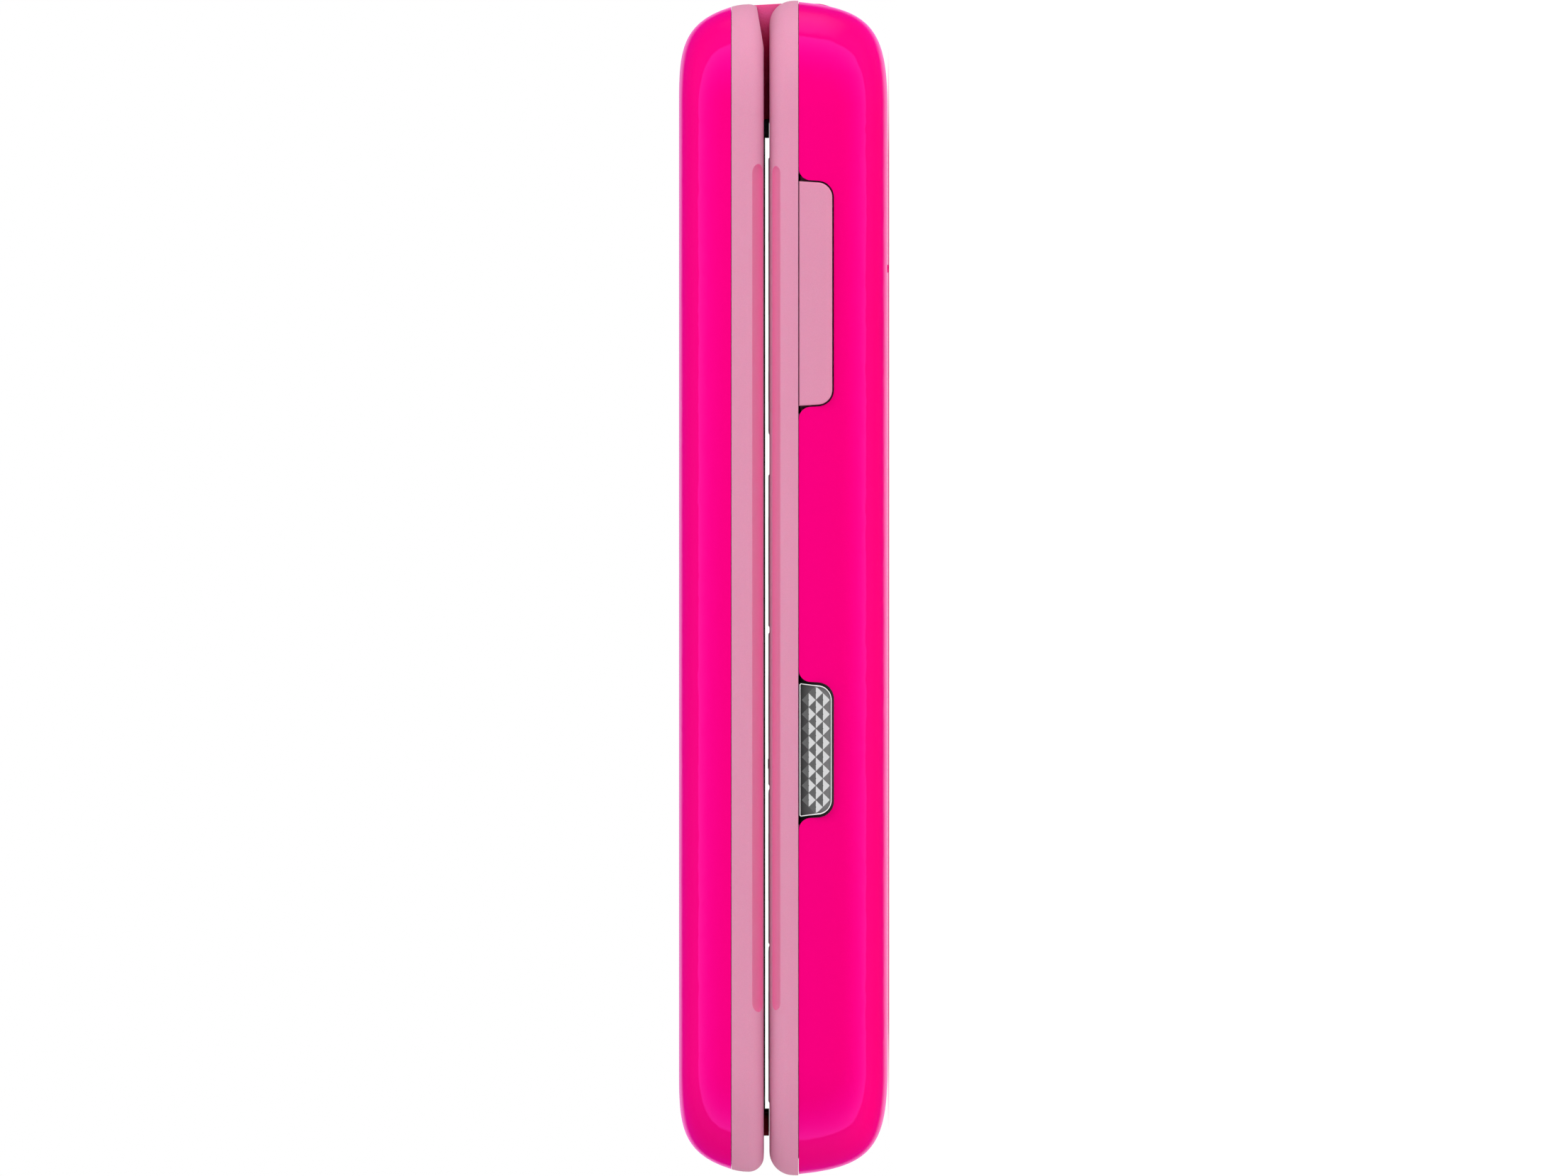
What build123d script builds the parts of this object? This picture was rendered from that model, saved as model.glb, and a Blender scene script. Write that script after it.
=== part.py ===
"""A clamshell phone, closed and lying on its back.

+X is the side with the volume key, +Y the hinge end and +Z the lid's outer face.
The origin is on the surface that the phone lies on, below its middle. Sizes are in millimetres.
"""

from build123d import *
import math
import os

# ------------------------------------------------------------------ outline and layers
phone_length = 107.96
phone_width = 55.0
corner_radius = 10.0
nub_height = 0.13
base_cover_height = 8.15
base_frame_height = 2.65
fold_gap = 0.52
lid_frame_height = 2.96
lid_cover_height = 4.78
seam = 0.05
base_cover_inset = 0.1
lid_frame_inset = 0.32
lid_frame_joint_inset = 0.55
lid_cover_inset = 0.57

# How the covers' sides round into their outer faces
base_reach = 9.6
base_lean = 5.4
base_side_pull = 0.82
base_face_pull = 0.73
lid_reach = 8.6
lid_lean = 17.1
lid_side_pull = 0.99
lid_face_pull = 0.53

# Walls, edges and clearances
cover_wall = 1.2
plate_thickness = 1.2
base_edge_radius = 2.2
lid_edge_radius = 1.4
lip_depth = 0.9
lip_thickness = 0.8
base_lip_clearance = 0.25
lid_lip_clearance = 0.5
fit_clearance = 0.1
running_clearance = 0.05
touch_clearance = 0.02
groove_length = 78.5
groove_radius = 1.2
lid_groove_out = 0.32
lid_groove_drop = 0.1
base_groove_out = 0.02
base_groove_lift = 0.15
relief_length = 4.4
relief_slope = 0.168

# Hinge
hinge_inset = 3.53
hinge_height = 6.58
barrel_radius = 3.27
knuckle_end_margin = 10.5
knuckle_side_clearance = 0.3
sweep_clearance = 0.2
well_wall = 0.8
cheek_thickness = 2.7
pad_reach = 7.35
pad_sink = 0.2
knuckle_root = 1.7
arm_draft = 0.12
arm_draft_rise = 0.6
well_floor = 0.5
open_angle = 155.0
hinge_bore_radius = 2.35
housing_wall = 0.35
housing_length = 14.0
cam_length = 2.4
follower_length = 2.5
cam_shaft_radius = 1.2
cam_square = 1.9
spring_wire = 0.4
spring_pitch = 1.05
bush_bore_radius = 1.1
bush_stub_radius = 1.5
bush_reach = 9.0
flex_thickness = 0.4
flex_width = 5.6
flex_tail_thickness = 0.3
flex_slot = 1.6

# Keys
key_gap = 0.13
key_proud = 0.09
key_thickness = 1.1
key_travel = 0.3
key_corner = 1.0
key_edge = 0.22
key_foot_radius = 1.6
key_column_gap = 0.25
key_row_gap = 0.45
keypad_side_margin = 3.625
keypad_chin_margin = 6.705
keypad_block_gap = 3.725
side_column_margin = 3.5
side_column_gap = 1.4
soft_key_margin = 3.55
soft_key_height = 14.6
call_key_gap = 2.65
call_key_height = 8.1
nav_inset = 0.45
nav_width = 20.4
nav_length = 24.4
nav_corner = 5.0
select_size = 10.0
select_corner = 2.6
ridge_radius = 0.25
ridge_length = 1.6
ring_ridge_inset = 3.0
carrier_thickness = 0.4
carrier_inset_x = 2.2
carrier_inset_y = 3.2
carrier_ridge_inset = 1.2
carrier_clearance = 0.26
mat_thickness = 0.75
mat_border = 0.4

# Side keys
volume_margin = 26.98
volume_length = 20.6
emergency_margin = 39.13
emergency_length = 12.3
side_key_depth = 3.04
side_key_drop = 0.02
side_key_corner = 1.35
side_key_draft = 0.2
side_key_gap = 0.16
side_key_proud = 0.03
side_key_flange = 0.5
side_key_flange_thickness = 0.6
side_key_curve_allowance = 0.55
side_key_edge = 0.15
cutout_flare = 1.1
stud_rim = 0.1
stud_diagonal = 1.31
stud_height = 0.2
stud_tip = 0.03
stud_columns = {0: 9, -1: 8, 1: 8}
switch_board_thickness = 0.3
switch_board_inset = 1.0
switch_tail_width = 1.4
dome_height = 0.2
dome_radius = 0.8
volume_dome_offset = 7.0

# Inside the base
board_thickness = 0.8
board_drop = 2.83
chassis_inset = 2.6
chassis_thickness = 0.8
bay_wall = 1.0
battery_side_margin = 10.5
battery_chin_margin = 18.68
battery_hinge_margin = 39.28
battery_thickness = 4.7
battery_lift = 0.17
battery_edge = 0.8
contacts_width = 10.0
contacts_depth = 2.2
contacts_lift = 2.0
contact_width = 1.0
contact_thickness = 0.3
contact_pitch = 3.0
contact_inset = 0.5
screw_radius = 0.7
screw_head_radius = 1.3
screw_head_height = 0.6
screw_cross_width = 0.3
screw_cross_length = 1.5
screw_cross_depth = 0.25
screw_end_gap = 0.3
screw_mid_inset = 6.9
screw_chin_left_inset = 7.9
screw_chin_right_inset = 9.5
screw_top_inset = 5.5
screw_chin_gap = 0.45
screw_top_gap = 0.9
boss_radius = 1.45
microphone_x = 8.5
microphone_margin = 3.78
microphone_width = 3.4
microphone_length = 2.2
microphone_height = 1.0
microphone_hole_radius = 0.45
jack_side_margin = 13.5
jack_radius = 1.8
jack_depth = 14.0
jack_wall = 0.6
jack_width = 6.2
jack_nose_length = 3.0
jack_recess = 1.9
port_width = 8.94
port_height = 3.3
port_depth = 7.4
port_wall = 0.3
port_recess = 1.0
tongue_thickness = 0.7
tongue_inset = 1.2
speaker_side_margin = 16.5
speaker_margin = 24.58
speaker_width = 17.0
speaker_length = 13.0
speaker_thickness = 3.0
speaker_corner = 1.0
speaker_rim = 1.5
speaker_dish = 0.4
shield_wall = 0.2
shield_depth = 1.0
card_side_margin = 15.5
card_margin = 23.98
card_width = 16.0
card_length = 18.0
card_height = 1.6
card_wall = 0.4
card_window_radius = 4.5
antenna_side_margin = 13.0
antenna_margin = 11.73
antenna_width = 15.0
antenna_length = 8.5
antenna_thickness = 1.3
antenna_slot = 1.2
antenna_pitch = 3.6
antenna_slot_depth = 0.3
antenna_bridge = 2.5
grille_hole_radius = 0.55
grille_pitch = 2.1
grille_row_offset = 2.4
nub_radius = 0.33
nub_pitch = 8.4
door_side_margin = 10.5
door_chin_margin = 13.0
door_hinge_margin = 34.0
door_corner = 3.0
door_seam = 0.2
door_seam_depth = 0.3
notch_radius = 10.0
notch_depth = 0.55

# Inside the lid
lens_side_margin = 3.3
lens_chin_margin = 6.18
lens_hinge_margin = 12.48
lens_thickness = 0.8
lens_proud = 0.12
lens_corner = 2.5
view_side_margin = 2.0
view_chin_margin = 22.3
view_hinge_margin = 8.0
display_border = 1.2
display_thickness = 1.9
display_corner = 0.8
lid_board_thickness = 0.8
lid_board_inset_x = 2.5
lid_board_inset_y = 9.0
lid_board_corner = 2.0
outer_lens_width = 34.0
outer_lens_length = 30.0
outer_lens_y = 2.0
outer_lens_corner = 4.0
outer_lens_thickness = 0.7
outer_ledge = 1.5
outer_display_thickness = 1.4
camera_margin = 21.98
camera_x = 0.0
camera_width = 22.0
camera_length = 11.0
camera_glass_thickness = 0.7
camera_offset = 4.6
camera_ring_radius = 4.3
camera_ring_width = 0.8
camera_ring_edge = 0.12
camera_body = 8.0
camera_barrel_sink = 0.25
camera_base_drop = 1.2
camera_pupil_radius = 0.9
camera_dish_margin = 0.5
flash_radius = 1.9
flash_offset = 5.6
flash_stem_inset = 0.5
flash_stem_length = 0.6
earpiece_width = 12.0
earpiece_length = 5.0
earpiece_thickness = 2.2
earpiece_corner = 1.2
earpiece_margin = 7.3
slot_length = 9.0
slot_width = 1.1
slot_margin = 0.5
window_corner = 1.0
bumper_width = 9.0
bumper_length = 2.05
bumper_side_margin = 12.5
bumper_margin = 4.68
bumper_corner = 0.6
bumper_gap = 0.04
buffer_length = 1.3
buffer_gap = 0.1
buffer_end_inset = 2.0
magnet_radius = 2.0
magnet_thickness = 1.2
magnet_side_margin = 13.5
magnet_gap = 3.0
lid_screw_side_margin = 6.5
lid_screw_gap = 0.8
chin_screw_gap = 0.25
lid_screw_sink = 0.1
lid_screw_grip = 1.6

# ------------------------------------------------------------------ levels and places that follow from them
back_z = nub_height
base_joint_z = back_z + base_cover_height
base_frame_z = base_joint_z + seam
base_face_z = base_frame_z + base_frame_height
lid_face_z = base_face_z + fold_gap
lid_joint_z = lid_face_z + lid_frame_height
lid_cover_z = lid_joint_z + seam
lid_top_z = lid_cover_z + lid_cover_height

half_width = phone_width / 2
half_length = phone_length / 2
corner_x = half_width - corner_radius
corner_y = half_length - corner_radius

base_plate_z = base_face_z - plate_thickness
lid_plate_z = lid_face_z + plate_thickness
board_top_z = base_face_z - board_drop
board_z = board_top_z - board_thickness
chassis_top_z = board_z - running_clearance
chassis_z = chassis_top_z - chassis_thickness
floor_z = back_z + cover_wall
base_lip_inset = base_cover_inset + cover_wall + base_lip_clearance
base_hollow_inset = base_lip_inset + lip_thickness
lid_lip_inset = lid_cover_inset + cover_wall + lid_lip_clearance
lid_hollow_inset = lid_lip_inset + lip_thickness

axis_y = half_length - hinge_inset
axis_z = back_z + hinge_height
knuckle_half_width = half_width - knuckle_end_margin
buffer_half_width = knuckle_half_width - buffer_end_inset
well_half_width = knuckle_half_width + knuckle_side_clearance
pad_y = axis_y - pad_reach
pad_z = base_face_z - pad_sink
root_z = lid_face_z + knuckle_root

key_top_z = base_face_z + key_proud
key_z = key_top_z - key_thickness
mat_top_z = board_top_z + mat_thickness
key_foot_z = mat_top_z + key_travel + running_clearance
side_key_top_z = base_joint_z - side_key_drop
side_key_z = side_key_top_z - side_key_depth
side_key_mid_z = (side_key_z + side_key_top_z) / 2
side_key_face_x = half_width - side_key_proud
flange_outer_x = half_width - base_cover_inset - cover_wall - key_travel - side_key_curve_allowance
flange_outer_x -= fit_clearance
side_key_inner_x = flange_outer_x - side_key_flange_thickness
switch_x = side_key_inner_x - key_travel - dome_height - fit_clearance

jack_nose_radius = jack_radius + jack_wall
jack_mouth_y = -half_length + base_cover_inset + jack_recess
jack_z = board_z - jack_nose_radius - fit_clearance
port_z = board_z - port_height / 2
port_mouth_y = -half_length + base_cover_inset + port_recess
display_z = lid_plate_z + touch_clearance
lid_board_z = display_z + display_thickness + fit_clearance
outer_lens_z = lid_top_z - outer_lens_thickness
camera_glass_z = lid_top_z - camera_glass_thickness

# The keypad fills the room between the chin and the hinge
soft_key_top = pad_y - soft_key_margin
soft_key_y = soft_key_top - soft_key_height / 2
call_key_y = soft_key_top - soft_key_height - call_key_gap - call_key_height / 2
nav_y = soft_key_top - nav_inset - nav_length / 2
number_pad_low = -half_length + keypad_chin_margin
number_pad_top = call_key_y - call_key_height / 2 - keypad_block_gap
number_pad_height = number_pad_top - number_pad_low
number_pad_width = phone_width - 2 * keypad_side_margin
number_pad_y = (number_pad_low + number_pad_top) / 2
number_key_pitch_x = (number_pad_width + key_column_gap) / 3
number_key_pitch_y = (number_pad_height + key_row_gap) / 4
number_key_width = number_key_pitch_x - key_column_gap
number_key_height = number_key_pitch_y - key_row_gap
side_column_width = half_width - side_column_margin - nav_width / 2 - side_column_gap
side_column_x = half_width - side_column_margin - side_column_width / 2

# What sits at a set distance from an end or a side
volume_y = half_length - volume_margin
emergency_y = -half_length + emergency_margin
battery_width = phone_width - 2 * battery_side_margin
battery_low = -half_length + battery_chin_margin
battery_length = half_length - battery_hinge_margin - battery_low
battery_y = battery_low + battery_length / 2
microphone_y = -half_length + microphone_margin
jack_x = -half_width + jack_side_margin
speaker_x = half_width - speaker_side_margin
speaker_y = half_length - speaker_margin
card_x = -half_width + card_side_margin
card_y = half_length - card_margin
antenna_x = half_width - antenna_side_margin
antenna_y = -half_length + antenna_margin
camera_y = half_length - camera_margin
bumper_x = half_width - bumper_side_margin
bumper_y = -half_length + bumper_margin
magnet_x = -half_width + magnet_side_margin
screw_x = half_width - screw_mid_inset
screw_chin_left_x = half_width - screw_chin_left_inset
screw_chin_right_x = half_width - screw_chin_right_inset
screw_top_x = half_width - screw_top_inset
lid_screw_x = half_width - lid_screw_side_margin

side_keys = ((volume_y, volume_length), (emergency_y, emergency_length))
screw_mid_y = (number_pad_top + call_key_y - call_key_height / 2) / 2
screw_chin_y = number_pad_low - key_gap - screw_chin_gap - boss_radius
screw_top_y = soft_key_top + screw_top_gap + boss_radius
screw_places = [
    (screw_x, screw_mid_y),
    (-screw_x, screw_mid_y),
    (screw_chin_right_x, screw_chin_y),
    (-screw_chin_left_x, screw_chin_y),
    (screw_top_x, screw_top_y),
    (-screw_top_x, screw_top_y),
]
lens_width = phone_width - 2 * lens_side_margin
lens_low = -half_length + lens_chin_margin
lens_top = half_length - lens_hinge_margin
lens_length = lens_top - lens_low
lens_y = (lens_low + lens_top) / 2
view_width = lens_width - 2 * view_side_margin
view_length = lens_length - view_chin_margin - view_hinge_margin
view_y = lens_low + view_chin_margin + view_length / 2
earpiece_y = lens_low + earpiece_margin
lid_screw_top_y = lens_top + lid_screw_gap + screw_head_radius
lid_screw_chin_y = lens_low - chin_screw_gap - screw_head_radius
lid_screw_places = [
    (lid_screw_x, lid_screw_top_y),
    (-lid_screw_x, lid_screw_top_y),
    (bumper_x, lid_screw_chin_y),
    (-bumper_x, lid_screw_chin_y),
]


# ------------------------------------------------------------------ shared shapes
def block(x0, x1, y0, y1, z0, z1):
    """A box between two corners."""
    centre = Pos((x0 + x1) / 2, (y0 + y1) / 2, (z0 + z1) / 2)
    return centre * Box(x1 - x0, y1 - y0, z1 - z0)


def plate(width, length, radius, z0, z1, x=0.0, y=0.0):
    """A flat plate with rounded corners in plan."""
    return Pos(x, y, z0) * extrude(RectangleRounded(width, length, radius), z1 - z0)


def outline_plate(inset, z0, z1):
    """A plate with the phone's own outline, drawn in by an inset."""
    return plate(phone_width - 2 * inset, phone_length - 2 * inset, corner_radius - inset, z0, z1)


def rod(radius, x, y, z0, z1):
    """An upright cylinder."""
    return Pos(x, y, (z0 + z1) / 2) * Cylinder(radius, z1 - z0)


def cross_rod(radius, x0, x1, y=None, z=None):
    """A cylinder along X, on the hinge axis unless a place is given."""
    y = axis_y if y is None else y
    z = axis_z if z is None else z
    return Pos((x0 + x1) / 2, y, z) * Rot(0, 90, 0) * Cylinder(radius, x1 - x0)


def across(sketch, x0, x1):
    """A section drawn in Y and Z, drawn out along X."""
    return extrude(Plane.YZ.offset(x0) * sketch, x1 - x0)


def rounded_form(section, low, high):
    """A rounded slab whose edge is a section in X and Z, from a corner's centre line outwards."""
    form = block(-corner_x, corner_x, -corner_y, corner_y, low, high)
    side = extrude(section, corner_y, both=True)
    end = Rot(0, 0, 90) * extrude(section, corner_x, both=True)
    corner = revolve(section, Axis.Z, 90)
    pieces = []
    for turn, (sx, sy) in enumerate([(1, 1), (-1, 1), (-1, -1), (1, -1)]):
        pieces.append(Pos(sx * corner_x, sy * corner_y, 0) * Rot(0, 0, 90 * turn) * corner)
    for way in (0, 1):
        pieces.append(Rot(0, 0, 180 * way) * Pos(corner_x, 0, 0) * side)
        pieces.append(Rot(0, 0, 180 * way) * Pos(0, corner_y, 0) * end)
    return form + pieces


def cover_form(inset, joint_z, face_z, reach, lean, side_pull, face_pull):
    """A cover's solid form: from its joint the side curves round into a flat outer face."""
    rim = corner_radius - inset
    rise = face_z - joint_z
    tilt = math.radians(lean)
    side = abs(rise) * side_pull
    bend = Bezier(
        (rim, joint_z),
        (rim - side * math.sin(tilt), joint_z + math.copysign(side, rise) * math.cos(tilt)),
        (rim - reach + reach * face_pull, face_z),
        (rim - reach, face_z),
    )
    outline = [
        Line((0, joint_z), (rim, joint_z)),
        bend,
        Line((rim - reach, face_z), (0, face_z)),
        Line((0, face_z), (0, joint_z)),
    ]
    section = Plane.XZ * make_face(outline)
    return rounded_form(section, min(joint_z, face_z), max(joint_z, face_z))


def base_cover_form(inset, lift):
    """The base cover's form, drawn in from its outer skin."""
    depth = inset - base_cover_inset
    return cover_form(
        inset, base_joint_z, back_z + lift, base_reach - depth, base_lean, base_side_pull, base_face_pull
    )


def lid_cover_form(inset, lift):
    """The lid cover's form, drawn in from its outer skin."""
    depth = inset - lid_cover_inset
    return cover_form(
        inset, lid_cover_z, lid_top_z - lift, lid_reach - depth, lid_lean, lid_side_pull, lid_face_pull
    )


def base_frame_form():
    """The base frame's solid form: an upright side that rounds into the keypad face."""
    rim = corner_radius
    start = base_face_z - base_edge_radius
    outline = [
        Line((0, base_frame_z), (rim, base_frame_z)),
        Line((rim, base_frame_z), (rim, start)),
        TangentArc((rim, start), (rim - base_edge_radius, base_face_z), tangent=(0, 1)),
        Line((rim - base_edge_radius, base_face_z), (0, base_face_z)),
        Line((0, base_face_z), (0, base_frame_z)),
    ]
    return rounded_form(Plane.XZ * make_face(outline), base_frame_z, base_face_z)


def lid_frame_form():
    """The lid frame's solid form: its side bends in to the lid cover and rounds into the screen face."""
    rim = corner_radius - lid_frame_inset
    top = corner_radius - lid_frame_joint_inset
    start = lid_face_z + lid_edge_radius
    outline = [
        Line((0, lid_joint_z), (top, lid_joint_z)),
        TangentArc((rim, start), (top, lid_joint_z), tangent=(0, 1)),
        TangentArc((rim, start), (rim - lid_edge_radius, lid_face_z), tangent=(0, -1)),
        Line((rim - lid_edge_radius, lid_face_z), (0, lid_face_z)),
        Line((0, lid_face_z), (0, lid_joint_z)),
    ]
    return rounded_form(Plane.XZ * make_face(outline), lid_face_z, lid_joint_z)


def finger_grooves(x, z):
    """The two long scoops that a fingertip opens the lid by, one on each side."""
    scoop = Rot(90, 0, 0) * Cylinder(groove_radius, groove_length - 2 * groove_radius)
    scoop += [Pos(0, s * (groove_length / 2 - groove_radius), 0) * Sphere(groove_radius) for s in (-1, 1)]
    return [Pos(s * x, 0, z) * scoop for s in (-1, 1)]


def hinge_sweep(clearance, x0, x1):
    """The space that the barrel and its arm pass through between closed and open."""
    reach = barrel_radius + clearance
    far = 4 * barrel_radius
    turn = math.radians(open_angle)
    out = (-math.sin(turn - math.pi / 2), -math.cos(turn - math.pi / 2))
    along = (math.sin(turn), math.cos(turn))
    tangent_y = axis_y + reach * out[0]
    tangent_z = axis_z + reach * out[1]
    flank = Polyline(
        (axis_y - reach, axis_z),
        (axis_y - reach, axis_z + far),
        (axis_y + far, axis_z + far),
        (axis_y + far, axis_z - far),
        (tangent_y + far * along[0], tangent_z + far * along[1]),
        (tangent_y, tangent_z),
        (axis_y, axis_z),
        close=True,
    )
    section = make_face(flank) + Pos(axis_y, axis_z) * Circle(reach)
    return across(section, x0, x1)


def hinge_notch(clearance=0.0):
    """What the base leaves free for the knuckle: its sweep, and the recess below its pad."""
    half = well_half_width + clearance
    sweep = hinge_sweep(sweep_clearance + clearance, -half, half)
    recess = block(
        -half, half, pad_y - fit_clearance, axis_y, pad_z - fit_clearance - clearance, lid_face_z
    )
    return sweep + recess


def side_key_sketch(y, length, grow):
    """A side key's outline, its ends drawn in towards two rounded corners, grown by a gap."""
    half = length / 2 + grow
    narrow = half - side_key_draft
    radius = side_key_corner + grow
    low, high = side_key_z - grow, side_key_top_z + grow
    corners = [(y - narrow, low), (y + narrow, low), (y + half, high), (y - half, high)]
    face = make_face(Polyline(*corners, close=True))
    rounded = face.vertices().filter_by_position(Axis.Y, low - touch_clearance, low + touch_clearance)
    return fillet(rounded, radius)


def side_key_cutout(y, length):
    """The cover's opening round a side key, its upper corners flared where they meet the frame."""
    opening = side_key_sketch(y, length, side_key_gap)
    half = length / 2 + side_key_gap
    top = base_joint_z + cutout_flare
    band = make_face(
        Polyline(
            (y - half - 2 * cutout_flare, base_joint_z),
            (y + half + 2 * cutout_flare, base_joint_z),
            (y + half + 2 * cutout_flare, top),
            (y - half - 2 * cutout_flare, top),
            close=True,
        )
    )
    shape = opening + band
    inner = [
        v
        for v in shape.vertices()
        if abs(v.Y - base_joint_z) < touch_clearance and abs(abs(v.X - y) - half) < touch_clearance
    ]
    return fillet(inner, cutout_flare)


# ------------------------------------------------------------------ the base
def base_cover():
    shell = base_cover_form(base_cover_inset, 0)
    shell -= base_cover_form(base_cover_inset + cover_wall, cover_wall)
    shell -= hinge_notch()
    for y, length in side_keys:
        shell -= across(side_key_cutout(y, length), half_width - base_reach, half_width)
    mouth = Pos(jack_x, -half_length, jack_z) * Rot(90, 0, 0)
    shell -= mouth * Cylinder(jack_nose_radius + fit_clearance, 2 * jack_nose_length + 2 * cover_wall)
    slot = SlotOverall(port_width + 2 * fit_clearance, port_height + 2 * fit_clearance)
    shell -= Pos(0, -half_length, port_z) * Rot(90, 0, 0) * extrude(slot, 2 * cover_wall, both=True)
    for row in (-1, 1):
        for column in range(5):
            x = speaker_x + (column - 2) * grille_pitch
            shell -= rod(grille_hole_radius, x, speaker_y + row * grille_row_offset, 0, floor_z + 1)
    for side in (-1, 1):
        shell += rod(nub_radius, speaker_x + side * nub_pitch / 2, speaker_y, 0, back_z + cover_wall / 2)
    return shell - battery_door_seam()


def battery_door_seam():
    """The fine groove round the battery door in the back, and the scoop for a thumb at its end."""
    low = -half_length + door_chin_margin
    top = half_length - door_hinge_margin
    width, middle = phone_width - 2 * door_side_margin, (low + top) / 2
    line = RectangleRounded(width, top - low, door_corner)
    line -= RectangleRounded(width - 2 * door_seam, top - low - 2 * door_seam, door_corner - door_seam)
    groove = Pos(0, middle, 0) * extrude(line, back_z + door_seam_depth)
    scoop = Pos(0, low + door_corner, back_z + notch_depth - notch_radius) * Sphere(notch_radius)
    return [groove, scoop]


def key_openings():
    """The keypad frame's openings: the number pad, the navigation key and four keys beside it."""
    low, high = base_frame_z, base_face_z + 1

    def opening(width, length, corner, x, y):
        return plate(width + 2 * key_gap, length + 2 * key_gap, corner + key_gap, low, high, x, y)

    openings = [
        opening(number_pad_width, number_pad_height, key_corner, 0, number_pad_y),
        opening(nav_width, nav_length, nav_corner, 0, nav_y),
    ]
    for side in (-1, 1):
        x = side * side_column_x
        openings.append(opening(side_column_width, soft_key_height, key_corner, x, soft_key_y))
        openings.append(opening(side_column_width, call_key_height, key_corner, x, call_key_y))
    return openings


def base_frame():
    frame = base_frame_form()
    frame -= outline_plate(base_hollow_inset, base_frame_z - 1, base_plate_z)
    lip = outline_plate(base_lip_inset, base_frame_z - lip_depth, base_frame_z + lip_depth)
    lip -= outline_plate(base_hollow_inset, base_frame_z - 2 * lip_depth, base_frame_z + 2 * lip_depth)
    for y, length in side_keys:
        half = length / 2 + side_key_flange + 2 * fit_clearance
        lip -= block(0, half_width, y - half, y + half, base_frame_z - 2 * lip_depth, base_frame_z)
    port_half = port_width / 2 + fit_clearance
    lip -= block(-port_half, port_half, -half_length, -corner_y, base_frame_z - 2 * lip_depth, base_frame_z)
    cheek_end = well_half_width + cheek_thickness + fit_clearance
    lip -= block(-cheek_end, cheek_end, corner_y, half_length, base_frame_z - 2 * lip_depth, base_frame_z)
    frame += lip
    for x, y in screw_places:
        frame += rod(boss_radius, x, y, board_top_z, base_plate_z + touch_clearance)
    frame -= key_openings()
    for x, y in screw_places:
        frame -= rod(screw_radius + touch_clearance, x, y, 0, base_plate_z)
    frame -= finger_grooves(half_width + base_groove_out, base_face_z + base_groove_lift)
    frame -= rod(microphone_hole_radius, microphone_x, microphone_y, base_plate_z - 1, base_face_z + 1)
    frame -= hinge_notch()
    return frame


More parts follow.
